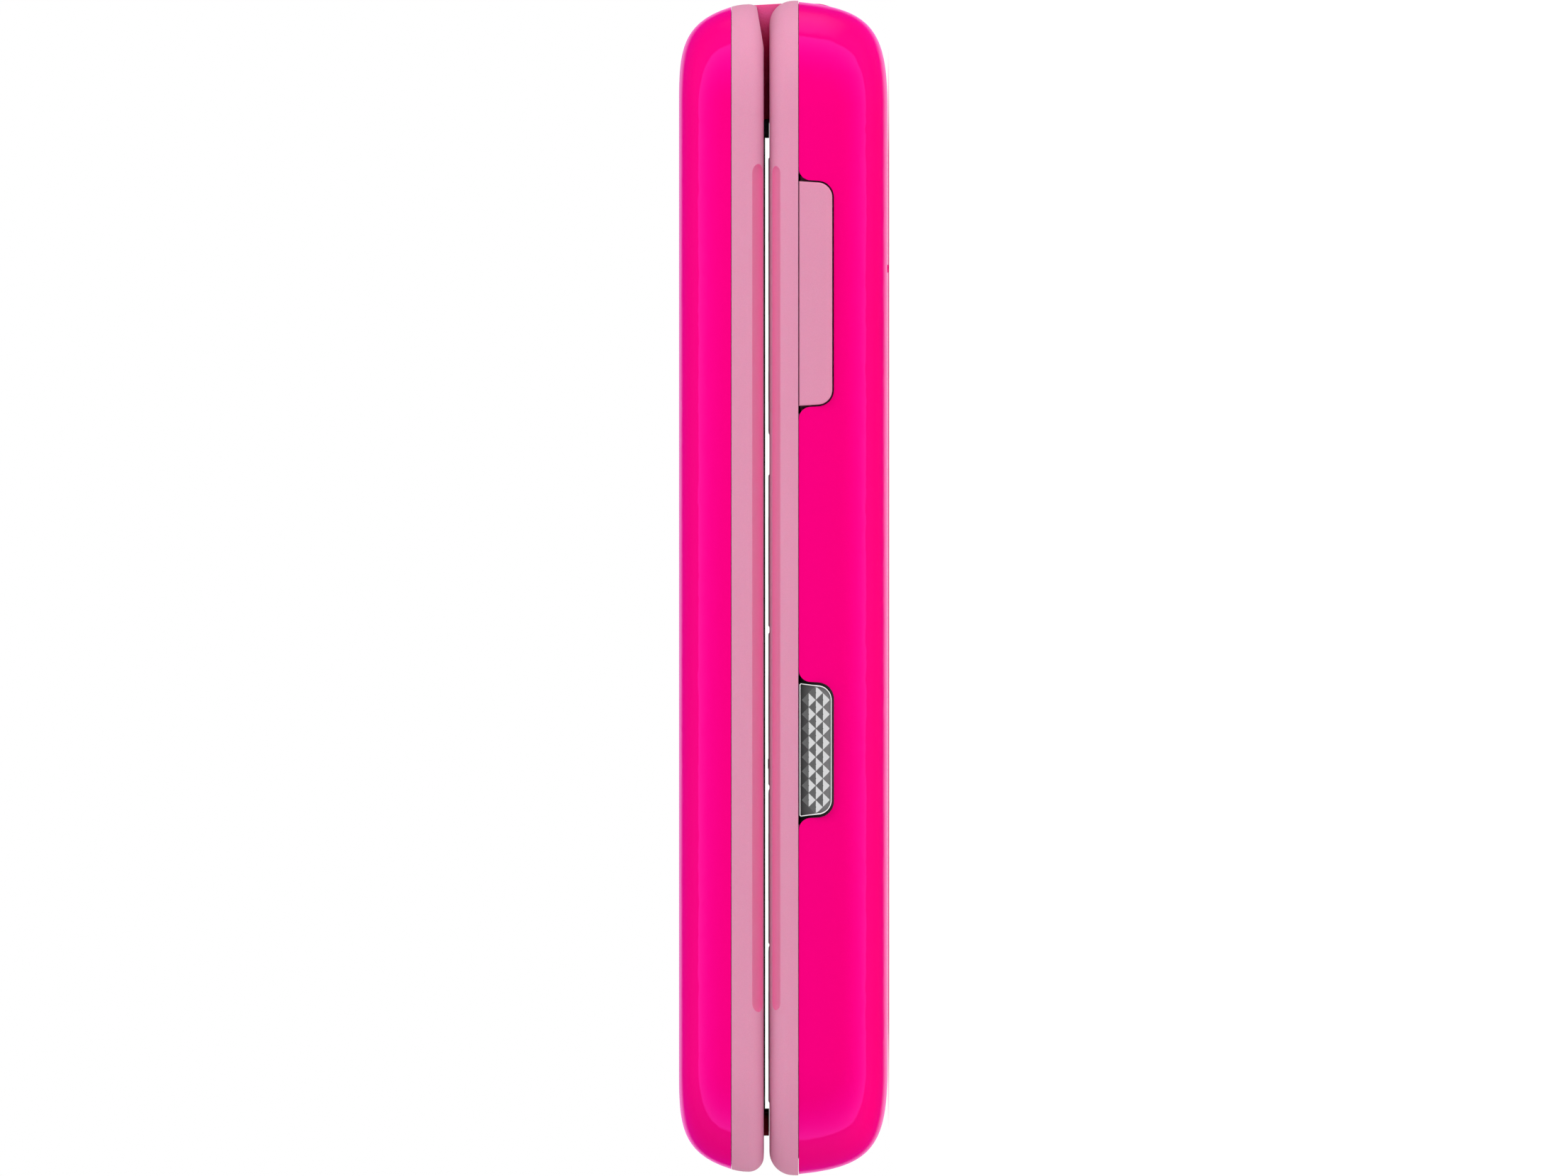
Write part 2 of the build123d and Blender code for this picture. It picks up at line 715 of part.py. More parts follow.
def base_chassis():
    """The inner frame: a tray for the battery, pockets for the speaker and the cheeks of the hinge."""
    tray = outline_plate(chassis_inset, chassis_z, chassis_top_z)
    tray -= block(
        -half_width, half_width, axis_y - barrel_radius, half_length, chassis_z - 1, chassis_top_z + 1
    )
    bay_x = battery_width / 2 + fit_clearance
    bay_y = battery_length / 2 + fit_clearance
    floor = floor_z + 3 * fit_clearance
    bay = block(
        -bay_x - bay_wall,
        bay_x + bay_wall,
        battery_y - bay_y - bay_wall,
        battery_y + bay_y + bay_wall,
        floor,
        chassis_z,
    )
    bay -= block(-bay_x, bay_x, battery_y - bay_y, battery_y + bay_y, floor - 1, chassis_z + 1)
    pocket_x = speaker_width / 2 + bay_wall
    pocket_y = speaker_length / 2 + bay_wall
    pocket = block(
        speaker_x - pocket_x,
        speaker_x + pocket_x,
        speaker_y - pocket_y,
        speaker_y + pocket_y,
        floor,
        chassis_z,
    )
    pocket -= block(
        speaker_x - pocket_x + bay_wall,
        speaker_x + pocket_x - bay_wall,
        speaker_y - pocket_y + bay_wall,
        speaker_y + pocket_y - bay_wall,
        floor - 1,
        chassis_z + 1,
    )
    well = hinge_sweep(sweep_clearance + well_wall, -well_half_width, well_half_width)
    well -= hinge_sweep(sweep_clearance, -half_width, half_width)
    cheek = block(
        well_half_width,
        well_half_width + cheek_thickness,
        axis_y - barrel_radius - sweep_clearance - well_wall,
        half_length,
        0,
        base_plate_z - fit_clearance,
    )
    hinge_part = well + [cheek, mirror(cheek, about=Plane.YZ)]
    depth = cover_wall + 3 * fit_clearance
    inner = base_cover_form(base_cover_inset + depth, depth)
    neck = outline_plate(base_hollow_inset + 2 * fit_clearance, base_joint_z - lip_depth - 1, base_face_z)
    neck_z = base_frame_z - lip_depth - fit_clearance
    room = inner & block(-half_width, half_width, -half_length, half_length, 0, neck_z)
    room += neck & block(-half_width, half_width, 0, half_length, neck_z, base_plate_z - fit_clearance)
    hinge_part &= room
    joining = block(
        -well_half_width - cheek_thickness,
        well_half_width + cheek_thickness,
        axis_y - barrel_radius - sweep_clearance - well_wall - well_floor,
        axis_y - barrel_radius - sweep_clearance - well_wall / 2,
        chassis_z,
        chassis_top_z,
    )
    chassis = tray + [bay, pocket, hinge_part, joining]
    chassis -= cross_rod(bush_stub_radius + touch_clearance, well_half_width - 1, half_width)
    square = cam_square + 2 * touch_clearance
    chassis -= Pos(-half_width, axis_y, axis_z) * Box(2 * (half_width - well_half_width + 1), square, square)
    chassis -= block(
        -port_width / 2 - fit_clearance,
        port_width / 2 + fit_clearance,
        -half_length,
        port_mouth_y + port_depth + fit_clearance,
        0,
        chassis_top_z + 1,
    )
    chassis -= block(
        jack_x - jack_width / 2 - fit_clearance,
        jack_x + jack_width / 2 + fit_clearance,
        -half_length,
        jack_mouth_y + jack_depth + 2 * fit_clearance + jack_wall,
        0,
        chassis_top_z + 1,
    )
    chassis -= shield_window(fit_clearance)
    chassis -= side_key_rooms()
    for x, y in screw_places:
        chassis -= rod(screw_radius + fit_clearance, x, y, 0, base_plate_z)
    return chassis


def side_key_rooms():
    """The room that the side keys and their switches need inside the base."""
    x0 = switch_x - switch_board_thickness - fit_clearance
    rooms = []
    for y, length in side_keys:
        half = length / 2 + side_key_flange + 3 * fit_clearance
        rooms.append(block(x0, half_width, y - half, y + half, 0, base_face_z))
    return rooms


def shield_window(grow):
    """The shield can's outer box, grown by a clearance."""
    half_x = speaker_width / 2 - bay_wall
    half_y = speaker_length / 2 - bay_wall
    return block(
        speaker_x - half_x - grow,
        speaker_x + half_x + grow,
        speaker_y - half_y - grow,
        speaker_y + half_y + grow,
        chassis_z - shield_depth,
        board_z,
    )


def shield_can():
    wall = shield_wall
    can = shield_window(0)
    hollow = shield_window(-wall) & block(
        -half_width, half_width, -half_length, half_length, chassis_z - shield_depth + wall, board_z
    )
    return can - hollow


def main_board():
    board = outline_plate(base_hollow_inset + 3 * fit_clearance, board_z, board_top_z)
    board -= block(
        -half_width,
        half_width,
        axis_y - barrel_radius - sweep_clearance - well_wall - 2 * fit_clearance,
        half_length,
        board_z - 1,
        board_top_z + 1,
    )
    board -= side_key_rooms()
    for x, y in screw_places:
        board -= rod(screw_radius + fit_clearance, x, y, board_z - 1, board_top_z + 1)
    return board


def keypad_mat():
    width = number_pad_width + 2 * mat_border
    length = soft_key_top - number_pad_low + 2 * mat_border
    middle = (soft_key_top + number_pad_low) / 2
    mat = plate(width, length, key_corner, board_top_z, mat_top_z, 0, middle)
    for x, y in screw_places:
        mat -= rod(boss_radius + fit_clearance, x, y, board_top_z - 1, mat_top_z + 1)
    return mat - side_key_rooms()


def battery():
    cell = block(
        -battery_width / 2,
        battery_width / 2,
        battery_y - battery_length / 2,
        battery_y + battery_length / 2,
        floor_z + battery_lift,
        floor_z + battery_lift + battery_thickness,
    )
    return fillet(cell.edges().filter_by(Axis.Y), battery_edge)


def battery_contacts():
    """Three sprung blades in a moulded block, at the battery's upper end."""
    y = battery_y + battery_length / 2 + 2 * fit_clearance + bay_wall
    half = contacts_width / 2
    front = y + contacts_depth
    holder = block(-half, half, y, front, floor_z + contacts_lift, chassis_z)
    low, high = floor_z + contacts_lift + contact_inset, chassis_z - contact_inset
    for x in (-contact_pitch, 0.0, contact_pitch):
        left, right = x - contact_width / 2, x + contact_width / 2
        holder += block(left, right, front, front + contact_thickness, low, high)
    return holder


def loudspeaker():
    z0 = floor_z + 2 * battery_lift
    body = block(
        speaker_x - speaker_width / 2,
        speaker_x + speaker_width / 2,
        speaker_y - speaker_length / 2,
        speaker_y + speaker_length / 2,
        z0,
        z0 + speaker_thickness,
    )
    body = fillet(body.edges().filter_by(Axis.Z), speaker_corner)
    width, length = speaker_width - 2 * speaker_rim, speaker_length - 2 * speaker_rim
    return body - plate(width, length, speaker_corner, z0 - 1, z0 + speaker_dish, speaker_x, speaker_y)


def microphone():
    half_x, half_y = microphone_width / 2, microphone_length / 2
    return block(
        microphone_x - half_x,
        microphone_x + half_x,
        microphone_y - half_y,
        microphone_y + half_y,
        board_top_z,
        board_top_z + microphone_height,
    )


def card_holder():
    """The slide-in holder for the SIM and memory cards."""
    half_x, half_y = card_width / 2, card_length / 2
    low = chassis_z - card_height
    shell = block(card_x - half_x, card_x + half_x, card_y - half_y, card_y + half_y, low, chassis_z)
    slot = block(
        card_x - half_x + card_wall,
        card_x + half_x - card_wall,
        card_y - half_y - 1,
        card_y + half_y - card_wall,
        low + card_wall,
        chassis_z - card_wall,
    )
    window = rod(card_window_radius, card_x, card_y, low - 1, low + 2 * card_wall)
    return shell - slot - window


def charging_port():
    """A USB-C receptacle: a slot-shaped metal shell with a tongue inside."""
    outer = SlotOverall(port_width, port_height)
    inner = SlotOverall(port_width - 2 * port_wall, port_height - 2 * port_wall)
    turned = Pos(0, port_mouth_y + port_depth, port_z) * Rot(90, 0, 0)
    shell = turned * extrude(outer, port_depth)
    shell -= turned * Pos(0, 0, port_wall) * extrude(inner, port_depth)
    tongue = block(
        -port_width / 2 + tongue_inset,
        port_width / 2 - tongue_inset,
        port_mouth_y + tongue_inset,
        port_mouth_y + port_depth,
        port_z - tongue_thickness / 2,
        port_z + tongue_thickness / 2,
    )
    return shell + tongue


def headphone_jack():
    """A 3.5 mm headphone socket: a round nose and a square body with one blind bore."""
    back = jack_mouth_y + jack_depth + jack_wall
    shoulder = jack_mouth_y + jack_nose_length
    body = block(
        jack_x - jack_width / 2,
        jack_x + jack_width / 2,
        shoulder,
        back,
        jack_z - jack_nose_radius,
        board_z,
    )
    nose = Pos(jack_x, (jack_mouth_y + shoulder) / 2, jack_z) * Rot(90, 0, 0)
    body += nose * Cylinder(jack_nose_radius, shoulder - jack_mouth_y)
    bore = Pos(jack_x, jack_mouth_y + jack_depth / 2, jack_z) * Rot(90, 0, 0)
    return body - bore * Cylinder(jack_radius, jack_depth)


def antenna():
    """The radio antenna: a printed strip folded along a thin carrier by the chin."""
    half_x, half_y = antenna_width / 2, antenna_length / 2
    low = chassis_z - antenna_thickness
    y0, y1 = antenna_y - half_y, antenna_y + half_y
    carrier = block(antenna_x - half_x, antenna_x + half_x, y0, y1, low, chassis_z)
    for step in (-1, 0, 1):
        x = antenna_x + step * antenna_pitch - antenna_slot / 2
        end, top = y1 - antenna_bridge, low + antenna_slot_depth
        carrier -= block(x, x + antenna_slot, y0 - 1, end, low - 1, top)
    return carrier


def side_switches():
    """The upright strip behind the side keys, with a dome for each press."""
    x1 = switch_x
    x0 = x1 - switch_board_thickness
    z0 = side_key_z + fit_clearance
    z1 = board_z - fit_clearance
    inset = switch_board_inset
    low, high = emergency_y - emergency_length / 2 + inset, volume_y + volume_length / 2 - inset
    strip = block(x0, x1, low, high, z0 + 2 * fit_clearance - switch_tail_width, z0 + 2 * fit_clearance)
    for y, length in side_keys:
        strip += block(x0, x1, y - length / 2 + inset, y + length / 2 - inset, z0, z1)
    for y in (volume_y - volume_dome_offset, volume_y + volume_dome_offset, emergency_y):
        strip += cross_rod(dome_radius, x1, x1 + dome_height, y, (z0 + z1) / 2)
    return strip


def cross_slot(x, y, z):
    """A screw head's cross recess, cut to both sides of the level given."""
    long_way = Box(screw_cross_width, screw_cross_length, 2 * screw_cross_depth)
    wide_way = Box(screw_cross_length, screw_cross_width, 2 * screw_cross_depth)
    return Pos(x, y, z) * (long_way + wide_way)


def base_screws():
    """Six screws that draw the inner frame up to the keypad frame."""
    low = chassis_z - screw_head_height
    screws = []
    for x, y in screw_places:
        head = rod(screw_head_radius, x, y, low, chassis_z) - cross_slot(x, y, low)
        shank = rod(screw_radius, x, y, chassis_z - touch_clearance, base_plate_z - screw_end_gap)
        screws.append(head + shank)
    return Compound(children=screws)


# ------------------------------------------------------------------ the hinge
def hinge_knuckle():
    """The lid's middle barrel, its arm up into the lid and the pad that bridges the fold."""
    front = axis_y + barrel_radius
    outline = Polyline(
        (axis_y - barrel_radius, axis_z),
        (axis_y - barrel_radius, pad_z),
        (pad_y, pad_z),
        (pad_y, root_z),
        (front - arm_draft * (1 + arm_draft_rise), root_z),
        (front - arm_draft, lid_face_z + arm_draft_rise),
        (front, axis_z + barrel_radius),
        (front, axis_z),
        close=True,
    )
    section = make_face(outline) + Pos(axis_y, axis_z) * Circle(barrel_radius)
    knuckle = across(section, -knuckle_half_width, knuckle_half_width)
    knuckle -= cross_rod(hinge_bore_radius, -half_width, half_width)
    x1, half = flex_width + 4 * fit_clearance, flex_slot / 2
    return knuckle - block(0, x1, axis_y - half, axis_y + half, axis_z, root_z + 1)


def hinge_housing():
    """The hinge unit's tube, closed at its inner end and lipped at its outer one."""
    outer = hinge_bore_radius - running_clearance
    inner = outer - housing_wall
    x0 = -knuckle_half_width
    x1 = x0 + housing_length
    tube = cross_rod(outer, x0, x1)
    tube -= cross_rod(inner, x0 + housing_wall, x1 - housing_wall)
    return tube - cross_rod(cam_shaft_radius + running_clearance, x0 - 1, x0 + 1)


def hinge_cam():
    """The cam disc and its shaft, which ends in a square held by the base's cheek."""
    inner = hinge_bore_radius - running_clearance - housing_wall
    x0 = -knuckle_half_width + housing_wall + running_clearance
    cam = cross_rod(inner - running_clearance, x0, x0 + cam_length)
    cam += cross_rod(cam_shaft_radius, -knuckle_half_width - running_clearance, x0)
    square = cam_square / 2
    return cam + block(
        -well_half_width - cheek_thickness + fit_clearance,
        -knuckle_half_width - running_clearance,
        axis_y - square,
        axis_y + square,
        axis_z - square,
        axis_z + square,
    )


def follower_x():
    """Where the follower's face meets the cam, along the hinge."""
    return -knuckle_half_width + housing_wall + running_clearance + cam_length + running_clearance


def hinge_follower():
    """The sliding follower that the spring holds against the cam."""
    inner = hinge_bore_radius - running_clearance - housing_wall
    x0 = follower_x()
    body = cross_rod(inner - running_clearance, x0, x0 + follower_length)
    return body - cross_rod(inner / 2, x0 + follower_length / 2, x0 + follower_length + 1)


def hinge_spring():
    """The coil spring between the follower and the tube's closed end."""
    inner = hinge_bore_radius - running_clearance - housing_wall
    x0 = follower_x() + follower_length + spring_wire / 2 + touch_clearance
    x1 = -knuckle_half_width + housing_length - housing_wall - spring_wire / 2 - touch_clearance
    radius = inner - spring_wire / 2 - 2 * running_clearance
    turns = Helix(spring_pitch, x1 - x0, radius)
    start = Plane(turns @ 0, z_dir=turns % 0)
    coil = sweep(start * Circle(spring_wire / 2), turns)
    return Pos(x0, axis_y, axis_z) * Rot(0, 90, 0) * coil


def hinge_bush():
    """The hollow bush that the knuckle's other end turns on, with the flex cable inside it."""
    outer = hinge_bore_radius - running_clearance
    x0 = knuckle_half_width - bush_reach
    x1 = well_half_width + cheek_thickness - fit_clearance
    bush = cross_rod(outer, x0, knuckle_half_width) + cross_rod(bush_stub_radius, x0, x1)
    return bush - cross_rod(bush_bore_radius, x0 - 1, x1 + 1)


def flex_cable():
    """The rolled flexible circuit: up the arm into the lid, and along the axis through the bush."""
    roll = bush_bore_radius - 2 * fit_clearance
    x1 = well_half_width + cheek_thickness - fit_clearance
    x0, half = 2 * fit_clearance, flex_tail_thickness / 2
    cable = cross_rod(roll, x0, x1) - cross_rod(roll - flex_thickness, -1, x1 + 1)
    low, high = axis_z + roll - flex_tail_thickness, root_z + 2 * flex_tail_thickness
    cable += block(x0, x0 + flex_width, axis_y - half, axis_y + half, low, high)
    return cable


# ------------------------------------------------------------------ keys
def key_cap(x, y, width, height, corner=None, foot=True):
    """A key cap with softened upper edges, and the plunger below it."""
    corner = key_corner if corner is None else corner
    cap = plate(width, height, corner, key_z, key_top_z, x, y)
    cap = fillet(cap.faces().sort_by(Axis.Z)[-1].edges(), key_edge)
    if foot:
        cap += rod(key_foot_radius, x, y, key_foot_z, key_z + touch_clearance)
    return cap


def number_keys():
    """Twelve keys in four rows of three."""
    names = [["1", "2", "3"], ["4", "5", "6"], ["7", "8", "9"], ["star", "0", "hash"]]
    keys = {}
    for row, line in enumerate(names):
        y = number_pad_y + (1.5 - row) * number_key_pitch_y
        for column, name in enumerate(line):
            x = (column - 1) * number_key_pitch_x
            keys["key_" + name] = key_cap(x, y, number_key_width, number_key_height)
    return keys


def column_keys():
    """The soft keys and the call and end keys, on both sides of the navigation key."""
    keys = {}
    for side, soft, call in ((-1, "soft_key_left", "call_key"), (1, "soft_key_right", "end_key")):
        x = side * side_column_x
        keys[soft] = key_cap(x, soft_key_y, side_column_width, soft_key_height)
        keys[call] = key_cap(x, call_key_y, side_column_width, call_key_height)
    return keys


def nav_ring():
    """The four-way ring round the select key, with the ridges that it rocks on."""
    ring = key_cap(0, nav_y, nav_width, nav_length, nav_corner, foot=False)
    hole = select_size + 2 * key_gap
    ring -= plate(hole, hole, select_corner + key_gap, key_z - 1, key_top_z + 1, 0, nav_y)
    low = carrier_top_z() + touch_clearance + ridge_radius
    for side in (-1, 1):
        x0 = side * (nav_width / 2 - ring_ridge_inset) - ridge_length / 2
        x1 = x0 + ridge_length
        ring += cross_rod(ridge_radius, x0, x1, nav_y, low)
        ring += block(x0, x1, nav_y - ridge_radius, nav_y + ridge_radius, low, key_z + touch_clearance)
    return ring


def carrier_top_z():
    """The upper face of the nav carrier, which leaves the ring room to rock."""
    return key_z - ridge_radius - 2 * touch_clearance


def nav_carrier():
    """The plate under the ring, which rocks to the left and right."""
    top = carrier_top_z()
    low = top - carrier_thickness
    width, length = nav_width - 2 * carrier_inset_x, nav_length - 2 * carrier_inset_y
    hole = select_size + 2 * (key_gap + carrier_clearance)
    carrier = plate(width, length, select_corner, low, top, 0, nav_y)
    carrier -= plate(hole, hole, select_corner, low - 1, top + 1, 0, nav_y)
    foot = mat_top_z + touch_clearance + ridge_radius
    for side in (-1, 1):
        y = nav_y + side * (length / 2 - carrier_ridge_inset)
        y0, y1 = y - ridge_length / 2, y + ridge_length / 2
        carrier += Pos(0, y, foot) * Rot(90, 0, 0) * Cylinder(ridge_radius, ridge_length)
        carrier += block(-ridge_radius, ridge_radius, y0, y1, foot, low + touch_clearance)
    return carrier


def select_key():
    return key_cap(0, nav_y, select_size, select_size, select_corner)


def side_key_body(y, length, flat_face):
    """A side key: its cap between the cover's edges, a flange inside the wall and a plunger."""
    cap = across(side_key_sketch(y, length, 0), side_key_inner_x, side_key_face_x)
    if not flat_face:
        cap = fillet(cap.faces().sort_by(Axis.X)[-1].edges(), side_key_edge)
    flange = block(
        flange_outer_x - side_key_flange_thickness,
        flange_outer_x,
        y - length / 2 - side_key_flange,
        y + length / 2 + side_key_flange,
        side_key_z - side_key_flange,
        side_key_top_z - fit_clearance,
    )
    return cap + flange


def volume_rocker():
    """The long side key, with the ridge that it rocks on at the middle of its back."""
    key = side_key_body(volume_y, volume_length, False)
    ridge_x = switch_x + touch_clearance + ridge_radius
    low, high = side_key_z, side_key_top_z - fit_clearance
    key += rod(ridge_radius, ridge_x, volume_y, low, high)
    y0, y1 = volume_y - ridge_radius, volume_y + ridge_radius
    return key + block(ridge_x, side_key_inner_x + touch_clearance, y0, y1, low, high)


def emergency_key():
    """The metal key: a bezel round a field of three columns of small pyramids."""
    key = side_key_body(emergency_y, emergency_length, True)
    outline = side_key_sketch(emergency_y, emergency_length, -stud_rim)
    key -= across(outline, side_key_face_x - stud_height, half_width)
    return key + studs()


def studs():
    """Pyramids set corner to corner; the middle column is half a step off the outer two."""
    side = stud_diagonal / math.sqrt(2)
    slope = math.degrees(math.atan2(side / 2 - stud_tip, stud_height))
    stud = Rot(0, 90, 0) * Rot(0, 0, 45) * extrude(Rectangle(side, side), stud_height, taper=slope)
    field = []
    for column, count in stud_columns.items():
        z = side_key_mid_z - touch_clearance + column * stud_diagonal / 2
        for step in range(count):
            y = emergency_y + (step - (count - 1) / 2) * stud_diagonal
            field.append(Pos(side_key_face_x - stud_height, y, z) * stud)
    return field


# ------------------------------------------------------------------ the lid
def relief(y_start):
    """The slope near the hinge that clears the base frame's edge as the lid swings."""
    end = half_length + 1
    start = half_length - y_start
    return across(
        make_face(
            Polyline(
                (start, lid_face_z - 1),
                (start, lid_face_z),
                (end, lid_face_z + (end - start) * relief_slope),
                (end, lid_face_z - 1),
                close=True,
            )
        ),
        -half_width,
        half_width,
    )


def lid_frame():
    frame = lid_frame_form()
    frame -= outline_plate(lid_hollow_inset, lid_plate_z, lid_joint_z + 1)
    lip = outline_plate(lid_lip_inset, lid_joint_z - lip_depth, lid_joint_z + lip_depth)
    lip -= outline_plate(lid_hollow_inset, lid_joint_z - 2 * lip_depth, lid_joint_z + 2 * lip_depth)
    frame += lip
    recess_z = lid_face_z - lens_proud + lens_thickness
    frame -= plate(
        lens_width + 2 * fit_clearance,
        lens_length + 2 * fit_clearance,
        lens_corner + fit_clearance,
        lid_face_z - 1,
        recess_z,
        0,
        lens_y,
    )
    frame -= plate(view_width, view_length, window_corner, lid_face_z - 1, lid_plate_z + 1, 0, view_y)
    slot = SlotOverall(slot_length + 2 * slot_margin, slot_width + 2 * slot_margin)
    frame -= Pos(0, earpiece_y, lid_face_z - 1) * extrude(slot, plate_thickness + 2)
    frame -= finger_grooves(half_width - lid_frame_inset + lid_groove_out, lid_face_z - lid_groove_drop)
    frame -= relief(relief_length)
    half = knuckle_half_width + touch_clearance
    seat_y, seat_z = pad_y - touch_clearance, root_z + touch_clearance
    frame -= block(-half, half, seat_y, half_length + 1, lid_face_z - 1, seat_z)
    for x, y in lid_screw_places:
        head_z = lid_face_z + screw_head_height
        frame -= rod(screw_radius + touch_clearance, x, y, lid_face_z - 1, lid_joint_z)
        frame -= rod(screw_head_radius + touch_clearance, x, y, lid_face_z - 1, head_z)
    return frame


def lid_cover():
    shell = lid_cover_form(lid_cover_inset, 0)
    shell -= lid_cover_form(lid_cover_inset + cover_wall, cover_wall)
    for x, y in lid_screw_places:
        boss = rod(boss_radius, x, y, lid_plate_z + fit_clearance, lid_top_z - cover_wall / 2)
        shell += boss & lid_boss_room()
        end = lid_cover_z + lid_screw_grip + 4 * fit_clearance
        shell -= rod(screw_radius + touch_clearance, x, y, 0, end)
    shell -= plate(
        outer_lens_width + 2 * touch_clearance,
        outer_lens_length + 2 * touch_clearance,
        outer_lens_corner,
        outer_lens_z,
        lid_top_z + 1,
        0,
        outer_lens_y,
    )
    shell -= plate(
        outer_lens_width - 2 * outer_ledge,
        outer_lens_length - 2 * outer_ledge,
        window_corner,
        lid_top_z - 2 * cover_wall,
        lid_top_z,
        0,
        outer_lens_y,
    )
    shell -= camera_pill(touch_clearance, camera_glass_z, lid_top_z + 1)
    shell -= camera_pill(-outer_ledge, lid_top_z - 2 * cover_wall, lid_top_z)
    return shell


def lid_boss_room():
    """Where the lid cover's screw bosses may be: inside its skin or above the frame's plate."""
    room = lid_cover_form(lid_cover_inset + cover_wall / 2, cover_wall / 2)
    return room + outline_plate(lid_hollow_inset + fit_clearance, lid_plate_z + fit_clearance, lid_cover_z)


def camera_pill(grow, z0, z1):
    """The pill-shaped window for the camera and the flash, grown by a clearance."""
    width = camera_width + 2 * grow
    length = camera_length + 2 * grow
    return Pos(camera_x, camera_y, z0) * extrude(SlotOverall(width, length), z1 - z0)


def lid_screws():
    """Four screws through the lid frame into the lid cover, their heads level with the inner face."""
    screws = []
    for x, y in lid_screw_places:
        low = lid_face_z + lid_screw_sink
        head = rod(screw_head_radius, x, y, low, lid_face_z + screw_head_height)
        shank = rod(screw_radius, x, y, low + screw_cross_depth, lid_cover_z + lid_screw_grip)
        screws.append(head + shank - cross_slot(x, y, low))
    return Compound(children=screws)


def inner_lens():
    """The clear panel over the main display, with the earpiece's slot near its far end."""
    top = lid_face_z - lens_proud
    back = top + lens_thickness - touch_clearance
    lens = plate(lens_width, lens_length, lens_corner, top, back, 0, lens_y)
    slot = Pos(0, earpiece_y, top - 1) * extrude(SlotOverall(slot_length, slot_width), 4)
    return lens - slot


def main_display():
    return plate(
        view_width + 2 * display_border,
        view_length + 2 * display_border,
        display_corner,
        display_z,
        display_z + display_thickness,
        0,
        view_y,
    )


def lid_board():
    width, length = lens_width - 2 * lid_board_inset_x, lens_length - 2 * lid_board_inset_y
    top = lid_board_z + lid_board_thickness
    board = plate(width, length, lid_board_corner, lid_board_z, top, 0, view_y)
    hole = camera_body + 2 * fit_clearance
    x = camera_x - camera_offset
    board -= block(x - hole / 2, x + hole / 2, camera_y - hole / 2, camera_y + hole / 2, 0, lid_top_z)
    return board


def outer_lens():
    return plate(
        outer_lens_width,
        outer_lens_length,
        outer_lens_corner - touch_clearance,
        outer_lens_z + touch_clearance,
        lid_top_z - touch_clearance,
        0,
        outer_lens_y,
    )


def outer_display():
    top = lid_top_z - cover_wall - fit_clearance
    return plate(
        outer_lens_width - 2 * outer_ledge,
        outer_lens_length - 2 * outer_ledge,
        display_corner,
        top - outer_display_thickness,
        top,
        0,
        outer_lens_y,
    )


def camera_glass():
    """The dark window over the camera and the flash, bored for the ring and the flash lens."""
    pill = camera_pill(0, camera_glass_z + touch_clearance, lid_top_z - touch_clearance)
    pill -= rod(camera_ring_radius + touch_clearance, camera_x - camera_offset, camera_y, 0, lid_top_z + 1)
    return pill - rod(flash_radius + touch_clearance, camera_x + flash_offset, camera_y, 0, lid_top_z + 1)


def camera_ring():
    """The metal ring round the camera, with its own small front glass seat."""
    x = camera_x - camera_offset
    ring = rod(camera_ring_radius, x, camera_y, camera_glass_z, lid_top_z)
    ring -= rod(camera_ring_radius - camera_ring_width, x, camera_y, camera_glass_z - 1, lid_top_z + 1)
    return chamfer(ring.faces().sort_by(Axis.Z)[-1].edges(), camera_ring_edge)


def flash_lens():
    """The flash's small lens and the light guide behind it."""
    x = camera_x + flash_offset
    lens = rod(flash_radius, x, camera_y, camera_glass_z, lid_top_z - touch_clearance)
    stem = flash_radius - flash_stem_inset
    return lens + rod(stem, x, camera_y, camera_glass_z - flash_stem_length, camera_glass_z + fit_clearance)


def camera_module():
    """The camera: a square body with a stepped lens barrel up into the ring."""
    x = camera_x - camera_offset
    half = camera_body / 2
    top = camera_glass_z - camera_base_drop
    body = block(x - half, x + half, camera_y - half, camera_y + half, lid_board_z, top)
    barrel = camera_ring_radius - camera_ring_width - fit_clearance
    front = lid_top_z - camera_barrel_sink
    body += rod(barrel, x, camera_y, top - fit_clearance, front)
    dish = Cone(camera_pupil_radius, barrel - camera_dish_margin, 1.0)
    return body - Pos(x, camera_y, front) * dish


def earpiece():
    body = block(
        -earpiece_width / 2,
        earpiece_width / 2,
        earpiece_y - earpiece_length / 2,
        earpiece_y + earpiece_length / 2,
        display_z,
        display_z + earpiece_thickness,
    )
    return fillet(body.edges().filter_by(Axis.Z), earpiece_corner)


def lid_bumpers():
    """Two soft stops by the chin that the closed lid rests on."""
    stops = []
    for side in (-1, 1):
        pad = plate(
            bumper_width,
            bumper_length,
            bumper_corner,
            base_face_z + bumper_gap,
            lid_face_z,
            side * bumper_x,
            bumper_y,
        )
        stops.append(pad)
    return Compound(children=stops)


def hinge_buffer():
    """The soft strip between the screen and the knuckle, across the fold."""
    y1 = pad_y - buffer_gap
    return block(
        -buffer_half_width, buffer_half_width, y1 - buffer_length, y1, base_face_z + bumper_gap, lid_face_z
    )


def lid_magnet():
    """The small magnet that tells the base that the lid is shut."""
    y = view_y - view_length / 2 - display_border - magnet_gap
    return rod(magnet_radius, magnet_x, y, lid_plate_z + touch_clearance, lid_plate_z + magnet_thickness)


